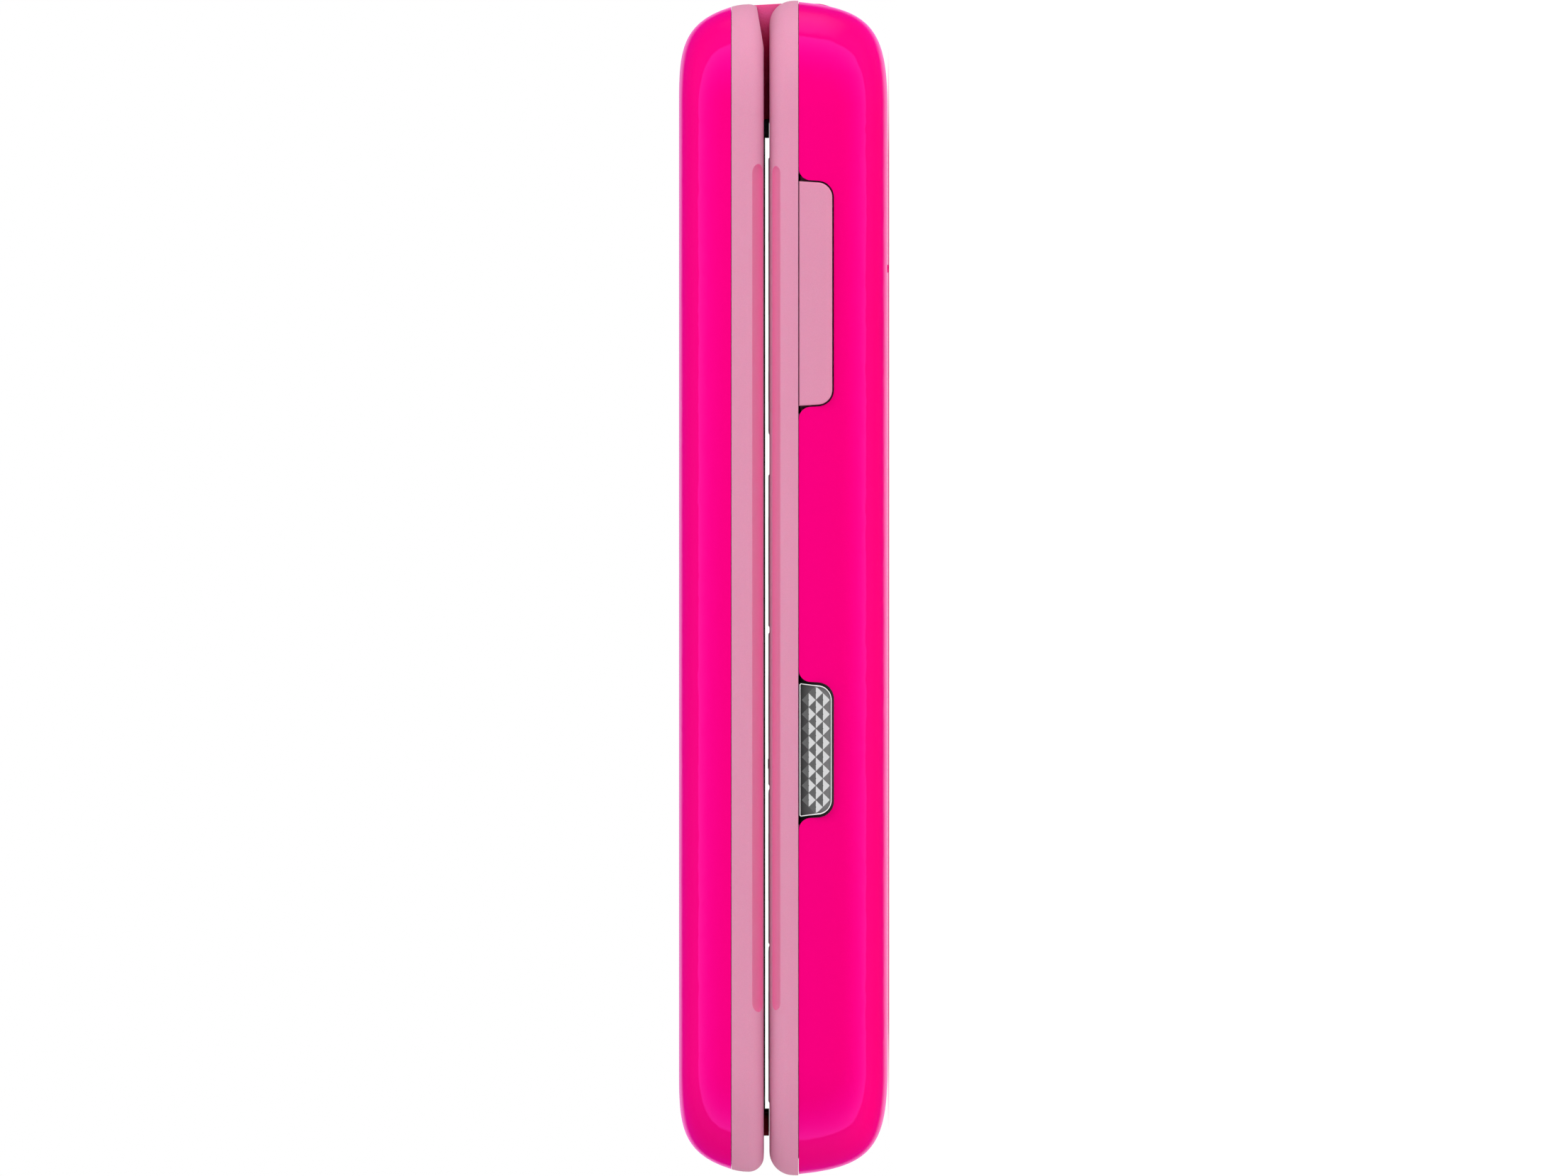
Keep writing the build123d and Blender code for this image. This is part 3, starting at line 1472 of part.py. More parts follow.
# ------------------------------------------------------------------ writing the parts
def build_all():
    functions = [
        base_cover, base_frame, base_chassis, keypad_mat, main_board, shield_can, battery,
        battery_contacts, loudspeaker, microphone, card_holder, charging_port, headphone_jack,
        antenna, side_switches, base_screws, hinge_knuckle, hinge_housing, hinge_cam,
        hinge_follower, hinge_spring, hinge_bush, flex_cable, nav_ring, nav_carrier, select_key,
        volume_rocker, emergency_key, lid_frame, lid_cover, lid_screws, inner_lens, main_display,
        lid_board, outer_lens, outer_display, camera_glass, camera_ring, flash_lens,
        camera_module, earpiece, lid_bumpers, hinge_buffer, lid_magnet,
    ]
    parts = {function.__name__: function() for function in functions}
    parts.update(number_keys())
    parts.update(column_keys())
    return parts


os.makedirs("parts", exist_ok=True)
for name, shape in build_all().items():
    export_step(shape, f"parts/{name}.step")
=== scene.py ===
"""A clamshell phone in glossy pink covers, dressed round its packed construction model.

+X is the side with the volume key, +Y the hinge end and +Z the lid's outer face. Lengths are in metres.
"""

import math

import bmesh
import bpy
from mathutils import Matrix, Vector


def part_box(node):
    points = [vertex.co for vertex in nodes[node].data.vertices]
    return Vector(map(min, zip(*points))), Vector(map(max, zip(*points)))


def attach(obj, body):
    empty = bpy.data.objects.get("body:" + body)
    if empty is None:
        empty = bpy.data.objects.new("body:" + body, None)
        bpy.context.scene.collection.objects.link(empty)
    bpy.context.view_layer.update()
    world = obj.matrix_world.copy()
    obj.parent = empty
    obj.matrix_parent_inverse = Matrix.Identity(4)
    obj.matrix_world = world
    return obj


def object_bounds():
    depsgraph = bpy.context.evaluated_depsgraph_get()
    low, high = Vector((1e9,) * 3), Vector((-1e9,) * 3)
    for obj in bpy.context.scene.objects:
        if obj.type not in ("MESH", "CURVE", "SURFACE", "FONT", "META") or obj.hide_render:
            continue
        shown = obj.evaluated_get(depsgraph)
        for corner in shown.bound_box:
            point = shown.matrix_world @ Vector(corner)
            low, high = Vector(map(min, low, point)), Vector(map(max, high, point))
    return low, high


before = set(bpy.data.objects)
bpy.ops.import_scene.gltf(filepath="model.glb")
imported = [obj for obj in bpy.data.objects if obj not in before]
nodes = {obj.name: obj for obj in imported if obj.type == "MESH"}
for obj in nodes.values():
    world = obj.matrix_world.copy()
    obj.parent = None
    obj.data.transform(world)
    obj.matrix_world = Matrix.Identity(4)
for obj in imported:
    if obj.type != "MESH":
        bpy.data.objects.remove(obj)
cad_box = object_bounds()

MM = 0.001

# ------------------------------------------------------------------ framing
FRAME_WIDTH = 144.13 * MM
CAMERA_DISTANCE = 4.0
SENSOR_WIDTH = 36.0
FRAMED_PLANE_X = 17.5 * MM
FRAME_CENTRE_Z = 9.64 * MM
CLIP_START = 0.1
CLIP_END = 30.0

# ------------------------------------------------------------------ lamps and floor
LAMP_TARGET = (0, 0, 0.01)
LAMP_SIZE = (0.3, 0.3)
UPPER_LIGHT = ((0.36, 0.36, 0.22), 1.08)
LOWER_LIGHT = ((0.36, -0.40, 0.16), 0.12)
STUD_LAMP_DISTANCE = 0.3
STUD_LAMP_WAY = (0.65, 0, -0.54)
STUD_LAMP_SIZE = (1.5, 0.5)
STUD_LAMP_LEVEL = 1.02
FLOOR_HALF = 8.0
FLOOR_DROP = 0.01 * MM
FLOOR_WHITE = (0.86, 0.86, 0.86)
FLOOR_GLOW = 0.35
UNDER_GLOW = 0.35
UNDER_MARGIN = 1.5 * MM
SEEN_GLOW = 0.1
FAR_GLOW = 0.2
FAR_FLOOR = (0.08, 0.4)
END_FADE = (14 * MM, 4 * MM)

# ------------------------------------------------------------------ strengths of the world's light
MIRRORED_DARK = 0.01
MIRRORED_BESIDE = 0.1
MIRRORED_BEHIND = 0.7
MIRRORED_ENDS = 0.45
AMBIENT = 0.22
AMBIENT_BESIDE = 0.48
AMBIENT_BEHIND = 0.35
AMBIENT_ACROSS = 0.4
AMBIENT_ABOVE = 0.3
AMBIENT_ALONG = 0.05

# ------------------------------------------------------------------ colours, in linear light
HOT_PINK = (0.825, 0.0003, 0.186)
PALE_PINK = (0.605, 0.246, 0.372)
# a deeper pink painted in as shade in the frames' finger grooves
GROOVE_SHADE_PINK = (0.680, 0.083, 0.250)
# the knuckle's pale pink, painted a fuller, more saturated pink as the shade and pink bounce between the
# frames
KNUCKLE_SHADED_PINK = (0.740, 0.085, 0.290)
# painted shade on the knuckle's end faces, deep in the gap
KNUCKLE_GAP_SHADE = (0.800, 0.003, 0.105)
KEY_PINK = (0.660, 0.285, 0.405)
DEEP_PINK = (0.235, 0.012, 0.075)
# the lid stops' pink, painted dark red as the shade deep in the gap between the halves
SOFT_STOP_SHADE = (0.20, 0.001, 0.012)
LEGEND_PLUM = (0.105, 0.008, 0.040)
CALL_GREEN = (0.010, 0.215, 0.055)
END_RED = (0.55, 0.010, 0.012)
BLACK_GLASS = (0.0045, 0.0045, 0.0052)
SCREEN_OFF = (0.0125, 0.0135, 0.0165)
BLACK_PLASTIC = (0.012, 0.012, 0.013)
GREY_RUBBER = (0.075, 0.075, 0.078)
BUFFER_GREY = (0.190, 0.170, 0.180)
STEEL = (0.56, 0.56, 0.57)
DARK_STEEL = (0.16, 0.16, 0.165)
SILVER = (0.80, 0.80, 0.81)
GOLD = (0.83, 0.60, 0.25)
SOLDER_MASK = (0.012, 0.085, 0.030)
AMBER_FILM = (0.42, 0.15, 0.02)
CELL_WRAP = (0.62, 0.62, 0.63)
FLASH_YELLOW = (0.80, 0.66, 0.28)
LENS_VIOLET = (0.020, 0.008, 0.045)
# a painted highlight: the bead's pale colour stands in for the glint along the help key's edge
BEAD_HIGHLIGHT_PALE = (0.80, 0.80, 0.80)
STUD_METAL = (0.56, 0.56, 0.565)
# the help key's ground, painted shaded on the lid side and lit on the back side
STUD_GROUND_SHADED = (0.042, 0.042, 0.043)
STUD_GROUND_LIT = (0.37, 0.37, 0.375)

# ------------------------------------------------------------------ textures: size of lumps, and depth
COVER_CLOUD = 30 * MM
COVER_HAZE = 9 * MM
ORANGE_PEEL = (1.6 * MM, 0.0007 * MM)
FRAME_CLOUD = 14 * MM
FRAME_GRAIN = (0.10 * MM, 0.022 * MM)
KNUCKLE_GRAIN = (0.13 * MM, 0.06 * MM)
EDGE_ROUNDING = 0.09 * MM
KEY_CLOUD = 8 * MM
KEY_GRAIN = (0.12 * MM, 0.0022 * MM)
INK_SPECK = 0.25 * MM
STUD_GRIT = 0.08 * MM
SILVER_GRIT = 0.1 * MM
WINDOW_SMEAR = 22 * MM
MOULD_CLOUD = 5 * MM
MOULD_GRAIN = (0.25 * MM, 0.006 * MM)
METAL_CLOUD = 3 * MM
METAL_LINES = (0.9 * MM, 0.0015 * MM)
METAL_STRETCH = (1.0, 12.0, 1.0)
TRACK_PITCH = 2.2 * MM
TRACK_WIDTH = 0.05
TRACK_HEIGHT = 0.01 * MM
FLASH_FROST = (0.3 * MM, 0.01 * MM)
LENS_HAZE = 1.1 * MM

# ------------------------------------------------------------------ where a colour changes on a piece, painted shade among them
# the finger grooves, and the reach of their painted shade
GROOVE_RADIUS = 1.2 * MM
GROOVE_LENGTH = 78.5 * MM
GROOVE_OUT = 0.02 * MM
GROOVE_SPILL = 0.03 * MM
GROOVE_DEEP = 0.25 * MM
BASE_GROOVE_LIFT = 0.15 * MM
LID_GROOVE_DROP = 0.1 * MM
# where the painted shade on the knuckle's end faces lies, and how it fades
KNUCKLE_END_DEPTH = 0.3 * MM
KNUCKLE_SHADE_FADE = (1.0 * MM, 4.0 * MM)
STUD_HEIGHT = 0.2 * MM
STUD_FOOT = (0.004 * MM, 0.014 * MM)
STUD_GROUND_MARGIN = 0.5 * MM
WINDOW_BORDER = 1.2 * MM
NOWHERE = ((1, 1), (1, 1))
EVERYWHERE = ((-1, -1), (1, 1))

# ------------------------------------------------------------------ marks and small pieces
INK_THICKNESS = 0.012 * MM
INK_SINK = 0.004 * MM
FIGURE_HEIGHT = 6.2 * MM
STAR_HEIGHT = 4.2 * MM
TOUCH_MARK_DROP = 5.1 * MM
TOUCH_MARK_HEIGHT = 0.05 * MM
TOUCH_MARK_SIZE = (3.2 * MM, 0.9 * MM)
TOUCH_MARK_CHAMFER = 0.03 * MM
TEXT_DEPTH = 0.05
TEXT_STEPS = 6
MERGE_DISTANCE = 0.0002 * MM
HANDSET_RADIUS = 3.5 * MM
CALL_MARK_TURN = 135
END_MARK_RISE = 0.35 * MM
SOFT_BAR = (5.0 * MM, 0.8 * MM)
ARROW_SIZE = 1.25 * MM
SELECT_RING = (1.75 * MM, 1.38 * MM)
BEAD_RADIUS = 0.068 * MM
BEAD_SINK = 0.06 * MM
BEAD_CUT = 0.1 * MM
BEAD_STEPS = 10
BEAD_ROUNDNESS = 3
KEY_FLANGE = 0.5 * MM
KEY_CORNER = 1.35 * MM
KEY_DRAFT = 0.2 * MM
WIRE_THICKNESS = 0.09 * MM
WEAVE_PITCH = 0.24 * MM
WEAVE_LIFT = 0.4
BAR_CHAMFER = 0.2
SPEAKER_MESH_Z = 1.5 * MM
SPEAKER_MESH_SIZE = (12.0 * MM, 9.0 * MM)
EARPIECE_SLOT = (8.8 * MM, 1.0 * MM)
EARPIECE_Y = -40.5 * MM
EARPIECE_MESH_Z = 11.75 * MM
CONTACT_COUNT = 12
CONTACT_PITCH = 0.5 * MM
CONTACT_SIZE = (0.25 * MM, 3.4 * MM, 0.02 * MM)
CONTACT_SETBACK = 0.3 * MM
TONGUE_INSET = 1.2 * MM
TONGUE_THICKNESS = 0.7 * MM
JACK_BORE_RADIUS = 1.8 * MM
JACK_WALL = 0.6 * MM
JACK_CENTRE_HEIGHT = 2.4 * MM
BEZEL_THICKNESS = 0.12 * MM
CAMERA_FRONT_SINK = 0.25 * MM
CAMERA_LENS_RADIUS = 1.72 * MM
CAMERA_LENS_SINK = 0.08 * MM
CAMERA_LENS_RISE = 0.12 * MM
BAFFLE_RADII = (3.3 * MM, 2.92 * MM, 2.54 * MM, 2.16 * MM)
BAFFLE_WIDTH = 0.2 * MM
BAFFLE_HEIGHT = 0.06 * MM
LENS_STEPS = 10
LENS_FOOT = 0.02 * MM
FLASH_GROOVES = 5
FLASH_MARGIN = 0.15 * MM
FLASH_SINK = 0.01 * MM
FLASH_RISE = 0.018 * MM
FLASH_STEP = 0.02 * MM
TURN_STEPS = 56
ARC_STEPS = 14


# ------------------------------------------------------------------ shader maths
class Wire:
    """An output socket that adds Math nodes when it is used in an expression."""

    def __init__(self, tree, socket):
        self.tree = tree
        self.socket = socket

    def maths(self, operation, *values):
        return self.tree.node("ShaderNodeMath", {"operation": operation}, dict(enumerate(values)))

    def __add__(self, other):
        return self.maths("ADD", self, other)

    def __sub__(self, other):
        return self.maths("SUBTRACT", self, other)

    def __rsub__(self, other):
        return self.maths("SUBTRACT", other, self)

    def __mul__(self, other):
        return self.maths("MULTIPLY", self, other)

    def __abs__(self):
        return self.maths("ABSOLUTE", self)

    __radd__ = __add__
    __rmul__ = __mul__

    def above(self, level):
        return self.maths("GREATER_THAN", self, level)

    def below(self, level):
        return self.maths("LESS_THAN", self, level)

    def least(self, other):
        return self.maths("MINIMUM", self, other)

    def most(self, other):
        return self.maths("MAXIMUM", self, other)

    def between(self, start, end):
        """0 before start and 1 after end, straight in between."""
        settings = {"clamp": True, "interpolation_type": "LINEAR"}
        inputs = {"Value": self, "From Min": start, "From Max": end, "To Min": 0.0, "To Max": 1.0}
        return self.tree.node("ShaderNodeMapRange", settings, inputs)


class Tree:
    """A node tree of a material, of the world or of a modifier."""

    def __init__(self, node_tree):
        self.nodes = node_tree.nodes
        self.links = node_tree.links
        self.nodes.clear()

    def node(self, kind, settings=None, inputs=None, output=0):
        """Adds one node: its settings first, then its sockets, each by number or name."""
        made = self.nodes.new(kind)
        for name, value in (settings or {}).items():
            setattr(made, name, value)
        for name, value in (inputs or {}).items():
            self.feed(made.inputs[name], value)
        return Wire(self, made.outputs[output]) if made.outputs else None

    def feed(self, socket, value):
        """Links a wire to a socket, or sets the socket's own value."""
        if isinstance(value, Wire):
            self.links.new(value.socket, socket)
        elif isinstance(value, tuple) and len(value) == 3 and socket.type == "RGBA":
            socket.default_value = (*value, 1.0)
        else:
            socket.default_value = value

    def outputs_of(self, kind):
        """A new node's outputs, by name."""
        return {socket.name: Wire(self, socket) for socket in self.nodes.new(kind).outputs}

    def place(self):
        """The piece's own coordinates, in metres."""
        return self.node("ShaderNodeTexCoord", output="Object")

    def parts_of(self, vector):
        """The X, Y and Z of a vector."""
        split = self.node("ShaderNodeSeparateXYZ", inputs={0: vector})
        owner = split.socket.node
        return [Wire(self, owner.outputs[axis]) for axis in range(3)]

    def noise(self, where, size, detail, rough=0.5):
        """Noise from 0 to 1 whose lumps are about this size."""
        inputs = {"Vector": where, "Scale": 1.0 / size, "Detail": detail, "Roughness": rough}
        return self.node("ShaderNodeTexNoise", {}, inputs)

    def blend(self, factor, first, second):
        """A colour between two colours."""
        made = self.nodes.new("ShaderNodeMix")
        made.data_type = "RGBA"
        made.clamp_factor = True
        colour_inputs = [socket for socket in made.inputs if socket.type == "RGBA"]
        for socket, value in zip([made.inputs[0], *colour_inputs], (factor, first, second)):
            self.feed(socket, value)
        return Wire(self, [socket for socket in made.outputs if socket.type == "RGBA"][0])

    def bump(self, height, depth, edge=0.0):
        """A normal from a height of 0 to 1 that stands for this depth, over slightly rounded edges."""
        inputs = {"Height": height, "Distance": depth}
        if edge:
            inputs["Normal"] = self.node("ShaderNodeBevel", {"samples": 4}, {"Radius": edge})
        return self.node("ShaderNodeBump", {}, inputs)


def finish_of(name, varied, fixed):
    """A material: what varies over the surface comes from varied(tree), the rest is fixed."""
    material = bpy.data.materials.new(name)
    material.use_nodes = True
    tree = Tree(material.node_tree)
    inputs = dict(fixed)
    inputs.update(varied(tree))
    shader = tree.node("ShaderNodeBsdfPrincipled", {}, inputs)
    tree.node("ShaderNodeOutputMaterial", {}, {"Surface": shader})
    return material


def shade(colour, factor):
    """A colour made lighter or darker."""
    return tuple(min(1.0, channel * factor) for channel in colour)


# ------------------------------------------------------------------ finishes
def glossy_cover():
    """Polished hot-pink moulding, with the faintest orange peel and a bloom of magenta at its edges."""

    def varied(tree):
        where = tree.place()
        cloud = tree.noise(where, COVER_CLOUD, 1.0)
        haze = tree.noise(where, COVER_HAZE, 3.0)
        size, depth = ORANGE_PEEL
        return {
            "Base Color": tree.blend(cloud, shade(HOT_PINK, 0.985), shade(HOT_PINK, 1.015)),
            "Roughness": 0.07 + haze * 0.05,
            "Normal": tree.bump(tree.noise(where, size, 1.0), depth),
        }

    fixed = {"IOR": 1.62, "Specular IOR Level": 1.0, "Specular Tint": (0.75, 0.0, 0.95)}
    fixed.update({"Sheen Weight": 0.9, "Sheen Roughness": 0.32, "Sheen Tint": (1.0, 0.0, 0.68)})
    return finish_of("glossy_hot_pink", varied, fixed)


def grained(name, colour, painted_shade, grain, roughness):
    """A matte moulding, a little translucent, with a fine grain, and a deeper colour painted in as shade
    where the given mask says.
    """
    size, depth = grain

    def varied(tree):
        where = tree.place()
        coarse = tree.noise(where, 2.4 * size, 1.5)
        fine = tree.noise(where, size, 3.0, 0.62)
        tone = tree.noise(where, FRAME_CLOUD, 2.0) * 0.4 + fine.between(0.3, 0.7) * 0.6
        height = coarse * 0.35 + fine * 0.65
        body = tree.blend(tone, shade(colour, 0.95), shade(colour, 1.05))
        # the mask and the colour of the painted shade
        shade_mask, shade_tone = painted_shade(tree, where)
        return {
            "Base Color": tree.blend(shade_mask, body, shade_tone),
            "Roughness": roughness - 0.08 + fine * 0.16,
            "Normal": tree.bump(height, depth, EDGE_ROUNDING),
        }

    fixed = {"IOR": 1.46, "Specular IOR Level": 0.4, "Subsurface Weight": 0.35}
    fixed.update({"Subsurface Radius": (1.0, 0.22, 0.42), "Subsurface Scale": 0.7 * MM})
    return finish_of(name, varied, fixed)


def finger_groove_shade(tree, where):
    """Where the scooped grooves for the fingertips run along the two frames' inner edges, painted a deeper
    pink as their shade, deepest towards the gap between the halves.
    """
    x, y, z = tree.parts_of(where)
    _, base_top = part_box("base_frame")
    lid_bottom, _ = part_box("lid_frame")
    from_base = z - (base_top.z + BASE_GROOVE_LIFT)
    from_lid = z - (lid_bottom.z - LID_GROOVE_DROP)
    out = abs(x) - (cad_box[1].x + GROOVE_OUT)
    past_end = (abs(y) - (GROOVE_LENGTH / 2 - GROOVE_RADIUS)).most(0.0)
    off = (from_base * from_base).least(from_lid * from_lid)
    reach = GROOVE_RADIUS + GROOVE_SPILL
    inside = (out * out + past_end * past_end + off).below(reach * reach)
    # the painted shade deepens towards the gap between the halves
    depth = abs(from_base).least(abs(from_lid)).between(GROOVE_RADIUS, GROOVE_DEEP)
    return inside * (0.3 + depth * 0.7), GROOVE_SHADE_PINK


def knuckle_end_shade(tree, where):
    """The knuckle's end faces, deep between the two frames, painted a deep rose as their shade, which fades
    out towards the hinge end.
    """
    x, y, _ = tree.parts_of(where)
    _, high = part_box("hinge_knuckle")
    # painted shade on the end faces, fading out towards the hinge end
    start, end = KNUCKLE_SHADE_FADE
    inward = y.between(high.y - start, high.y - end)
    return abs(x).above(high.x - KNUCKLE_END_DEPTH) * inward, KNUCKLE_GAP_SHADE


def satin_key():
    """The key caps' smooth satin plastic."""

    def varied(tree):
        where = tree.place()
        tone = tree.noise(where, KEY_CLOUD, 2.0)
        size, depth = KEY_GRAIN
        fine = tree.noise(where, size, 2.0)
        return {
            "Base Color": tree.blend(tone, shade(KEY_PINK, 0.98), shade(KEY_PINK, 1.02)),
            "Roughness": 0.30 + fine * 0.10,
            "Normal": tree.bump(fine, depth),
        }

    return finish_of("satin_key", varied, {"IOR": 1.47, "Specular IOR Level": 0.5})


def ink(name, colour):
    """A printed legend."""

    def varied(tree):
        where = tree.place()
        speck = tree.noise(where, INK_SPECK, 2.0)
        return {
            "Base Color": tree.blend(speck, shade(colour, 0.9), shade(colour, 1.1)),
            "Roughness": 0.38 + speck * 0.12,
        }

    return finish_of(name, varied, {"IOR": 1.5})


def studded_metal():
    """The help key: bright facets, and a darker ground between them, painted shaded on the lid side and lit
    on the back side, where its light comes from.
    """
    low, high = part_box("emergency_key")
    ground_x = high.x - STUD_HEIGHT

    def varied(tree):
        where = tree.place()
        x, _, z = tree.parts_of(where)
        raised = x.between(ground_x + STUD_FOOT[0], ground_x + STUD_FOOT[1])
        # painted light: the ground goes from shaded at the lid side to lit at the back side
        across = z.between(high.z, low.z + STUD_GROUND_MARGIN)
        ground = tree.blend(across, STUD_GROUND_SHADED, STUD_GROUND_LIT)
        grit = tree.noise(where, STUD_GRIT, 3.0)
        return {
            "Base Color": tree.blend(raised, ground, STUD_METAL),
            "Metallic": 0.55 + raised * 0.45,
            "Roughness": 0.12 + grit * 0.08 + (1 - raised) * 0.2,
        }

    return finish_of("studded_metal", varied, {})


def black_window(name, view_low, view_high):
    """A clear panel with a black print behind it, round a switched-off screen."""

    def varied(tree):
        where = tree.place()
        x, y, _ = tree.parts_of(where)
        inside_x = x.above(view_low[0]) * x.below(view_high[0])
        inside_y = y.above(view_low[1]) * y.below(view_high[1])
        smear = tree.noise(where, WINDOW_SMEAR, 3.0)
        return {
            "Base Color": tree.blend(inside_x * inside_y, BLACK_GLASS, SCREEN_OFF),
            "Roughness": 0.035 + smear * 0.035,
        }

    return finish_of(name, varied, {"IOR": 1.52, "Specular IOR Level": 0.5})


def moulded(name, colour, roughness, level=0.5):
    """A plain moulding with a light spark-eroded grain."""
    size, depth = MOULD_GRAIN

    def varied(tree):
        where = tree.place()
        fine = tree.noise(where, size, 3.0)
        tone = tree.noise(where, MOULD_CLOUD, 2.0)
        return {
            "Base Color": tree.blend(tone, shade(colour, 0.85), shade(colour, 1.15)),
            "Roughness": roughness - 0.06 + fine * 0.12,
            "Normal": tree.bump(fine, depth),
        }

    return finish_of(name, varied, {"IOR": 1.48, "Specular IOR Level": level})


def metal(name, colour, roughness):
    """A plated or polished metal with the marks of its making along one axis."""
    size, depth = METAL_LINES

    def varied(tree):
        where = tree.place()
        drawn = tree.node("ShaderNodeMapping", {}, {"Vector": where, "Scale": METAL_STRETCH})
        lines = tree.noise(drawn, size, 3.0)
        tone = tree.noise(where, METAL_CLOUD, 2.0)
        return {
            "Base Color": tree.blend(tone, shade(colour, 0.92), shade(colour, 1.06)),
            "Roughness": roughness - 0.07 + lines * 0.14,
            "Normal": tree.bump(lines, depth),
        }

    return finish_of(name, varied, {"Metallic": 1.0})


def circuit_board():
    """Green solder mask over a faint grid of tracks."""

    def varied(tree):
        where = tree.place()
        cells = tree.node(
            "ShaderNodeTexVoronoi",
            {"distance": "MANHATTAN", "feature": "DISTANCE_TO_EDGE"},
            {"Vector": where, "Scale": 1 / TRACK_PITCH},
        )
        track = cells.below(TRACK_WIDTH)
        return {
            "Base Color": tree.blend(track, SOLDER_MASK, shade(SOLDER_MASK, 2.2)),
            "Roughness": 0.32 + track * 0.12,
            "Normal": tree.bump(track, TRACK_HEIGHT),
        }

    return finish_of("solder_mask", varied, {})


def flash_plastic():
    """The flash's frosted yellow lens."""

    def varied(tree):
        where = tree.place()
        size, depth = FLASH_FROST
        frost = tree.noise(where, size, 2.0)
        return {
            "Base Color": tree.blend(frost, shade(FLASH_YELLOW, 0.9), shade(FLASH_YELLOW, 1.15)),
            "Roughness": 0.18 + frost * 0.15,
            "Normal": tree.bump(frost, depth),
        }

    return finish_of("flash_plastic", varied, {"IOR": 1.5, "Transmission Weight": 0.25})


def lens_coat():
    """A camera lens with a dark violet coat."""

    def varied(tree):
        where = tree.place()
        haze = tree.noise(where, LENS_HAZE, 1.0)
        return {
            "Base Color": tree.blend(haze, LENS_VIOLET, shade(LENS_VIOLET, 1.8)),
            "Roughness": 0.02 + haze * 0.03,
        }

    fixed = {"IOR": 1.8, "Coat Weight": 1.0, "Coat Roughness": 0.02, "Coat Tint": (0.55, 0.45, 1.0)}
    return finish_of("lens_coat", varied, fixed)


def bead_highlight_satin():
    """The bead round the help key, whose pale satin is a painted highlight standing in for the glint along
    the key's edge.
    """

    def varied(tree):
        where = tree.place()
        grit = tree.noise(where, SILVER_GRIT, 2.0)
        return {
            "Base Color": tree.blend(grit, shade(BEAD_HIGHLIGHT_PALE, 0.96), shade(BEAD_HIGHLIGHT_PALE, 1.04)),
            "Roughness": 0.30 + grit * 0.10,
        }

    return finish_of("bead_highlight_satin", varied, {"Metallic": 0.1})


def dress(names, material):
    """Gives CAD nodes a finish."""
    for name in names:
        mesh = nodes[name].data
        mesh.materials.clear()
        mesh.materials.append(material)


def dress_windows():
    """The two lenses with the screens in view behind them, the camera's glass and the screens."""
    border = Vector((WINDOW_BORDER, WINDOW_BORDER, 0))
    low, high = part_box("main_display")
    dress(["inner_lens"], black_window("inner_window", low + border, high - border))
    low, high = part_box("outer_display")
    dress(["outer_lens"], black_window("outer_window", low + border, high))
    dress(["camera_glass"], black_window("camera_window", *NOWHERE))
    dress(["main_display", "outer_display"], black_window("screen_face", *EVERYWHERE))


# ------------------------------------------------------------------ meshes
def keep(name, mesh, material, body):
    """Makes a piece of a finished mesh, gives it its material and ties it to its body."""
    mesh.name = name
    mesh.materials.clear()
    mesh.materials.append(material)
    piece = bpy.data.objects.new(name, mesh)
    bpy.context.scene.collection.objects.link(piece)
    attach(piece, body)


def finished(shape, name):
    """Turns a bmesh into a mesh whose faces point outwards."""
    bmesh.ops.recalc_face_normals(shape, faces=shape.faces)
    mesh = bpy.data.meshes.new(name)
    shape.to_mesh(mesh)
    shape.free()
    return mesh


def baked_mesh(holder):
    """The plain mesh of an object with modifiers, or of a curve or a text, which is then deleted."""
    bpy.context.scene.collection.objects.link(holder)
    evaluated = holder.evaluated_get(bpy.context.evaluated_depsgraph_get())
    mesh = bpy.data.meshes.new_from_object(evaluated)
    bpy.data.objects.remove(holder)
    return mesh


def middle_of(low, high):
    """The middle of a box."""
    return (low + high) / 2


def plate(outline, low, high, chamfer=0.0):
    """A closed plate over a flat outline, whose upper edge may be chamfered."""
    shape = bmesh.new()
    centre = sum((Vector(point) for point in outline), Vector((0, 0))) / len(outline)
    reach = max((Vector(point) - centre).length for point in outline)
    inner = [centre + (Vector(point) - centre) * (1 - chamfer / reach) for point in outline]
    layers = [(outline, low), (outline, high - chamfer)]
    if chamfer:
        layers.append((inner, high))
    rings = [[shape.verts.new((point[0], point[1], z)) for point in layer] for layer, z in layers]
    ends = [shape.faces.new(rings[0]), shape.faces.new(rings[-1])]
    for lower, upper in zip(rings, rings[1:]):
        for step in range(len(outline)):
            after = (step + 1) % len(outline)
            shape.faces.new((lower[step], lower[after], upper[after], upper[step]))
    bmesh.ops.triangulate(shape, faces=ends)
    return finished(shape, "plate")


def turned(profile, place, closed=False):
    """A turned body: the profile's points are (radius, height), closed in itself or on the axis."""
    shape = bmesh.new()
    turns = [2 * math.pi * step / TURN_STEPS for step in range(TURN_STEPS)]
    columns = []
    for radius, height in profile:
        if radius == 0:
            columns.append([shape.verts.new((0, 0, height))] * TURN_STEPS)
            continue
        points = [(radius * math.cos(turn), radius * math.sin(turn), height) for turn in turns]
        columns.append([shape.verts.new(point) for point in points])
    following = columns[1:] + columns[:1] if closed else columns[1:]
    for inner, outer in zip(columns, following):
        for step in range(TURN_STEPS):
            after = (step + 1) % TURN_STEPS
            corners = dict.fromkeys((inner[step], outer[step], outer[after], inner[after]))
            if len(corners) > 2:
                shape.faces.new(list(corners))
    shape.transform(place)
    return finished(shape, "turned")


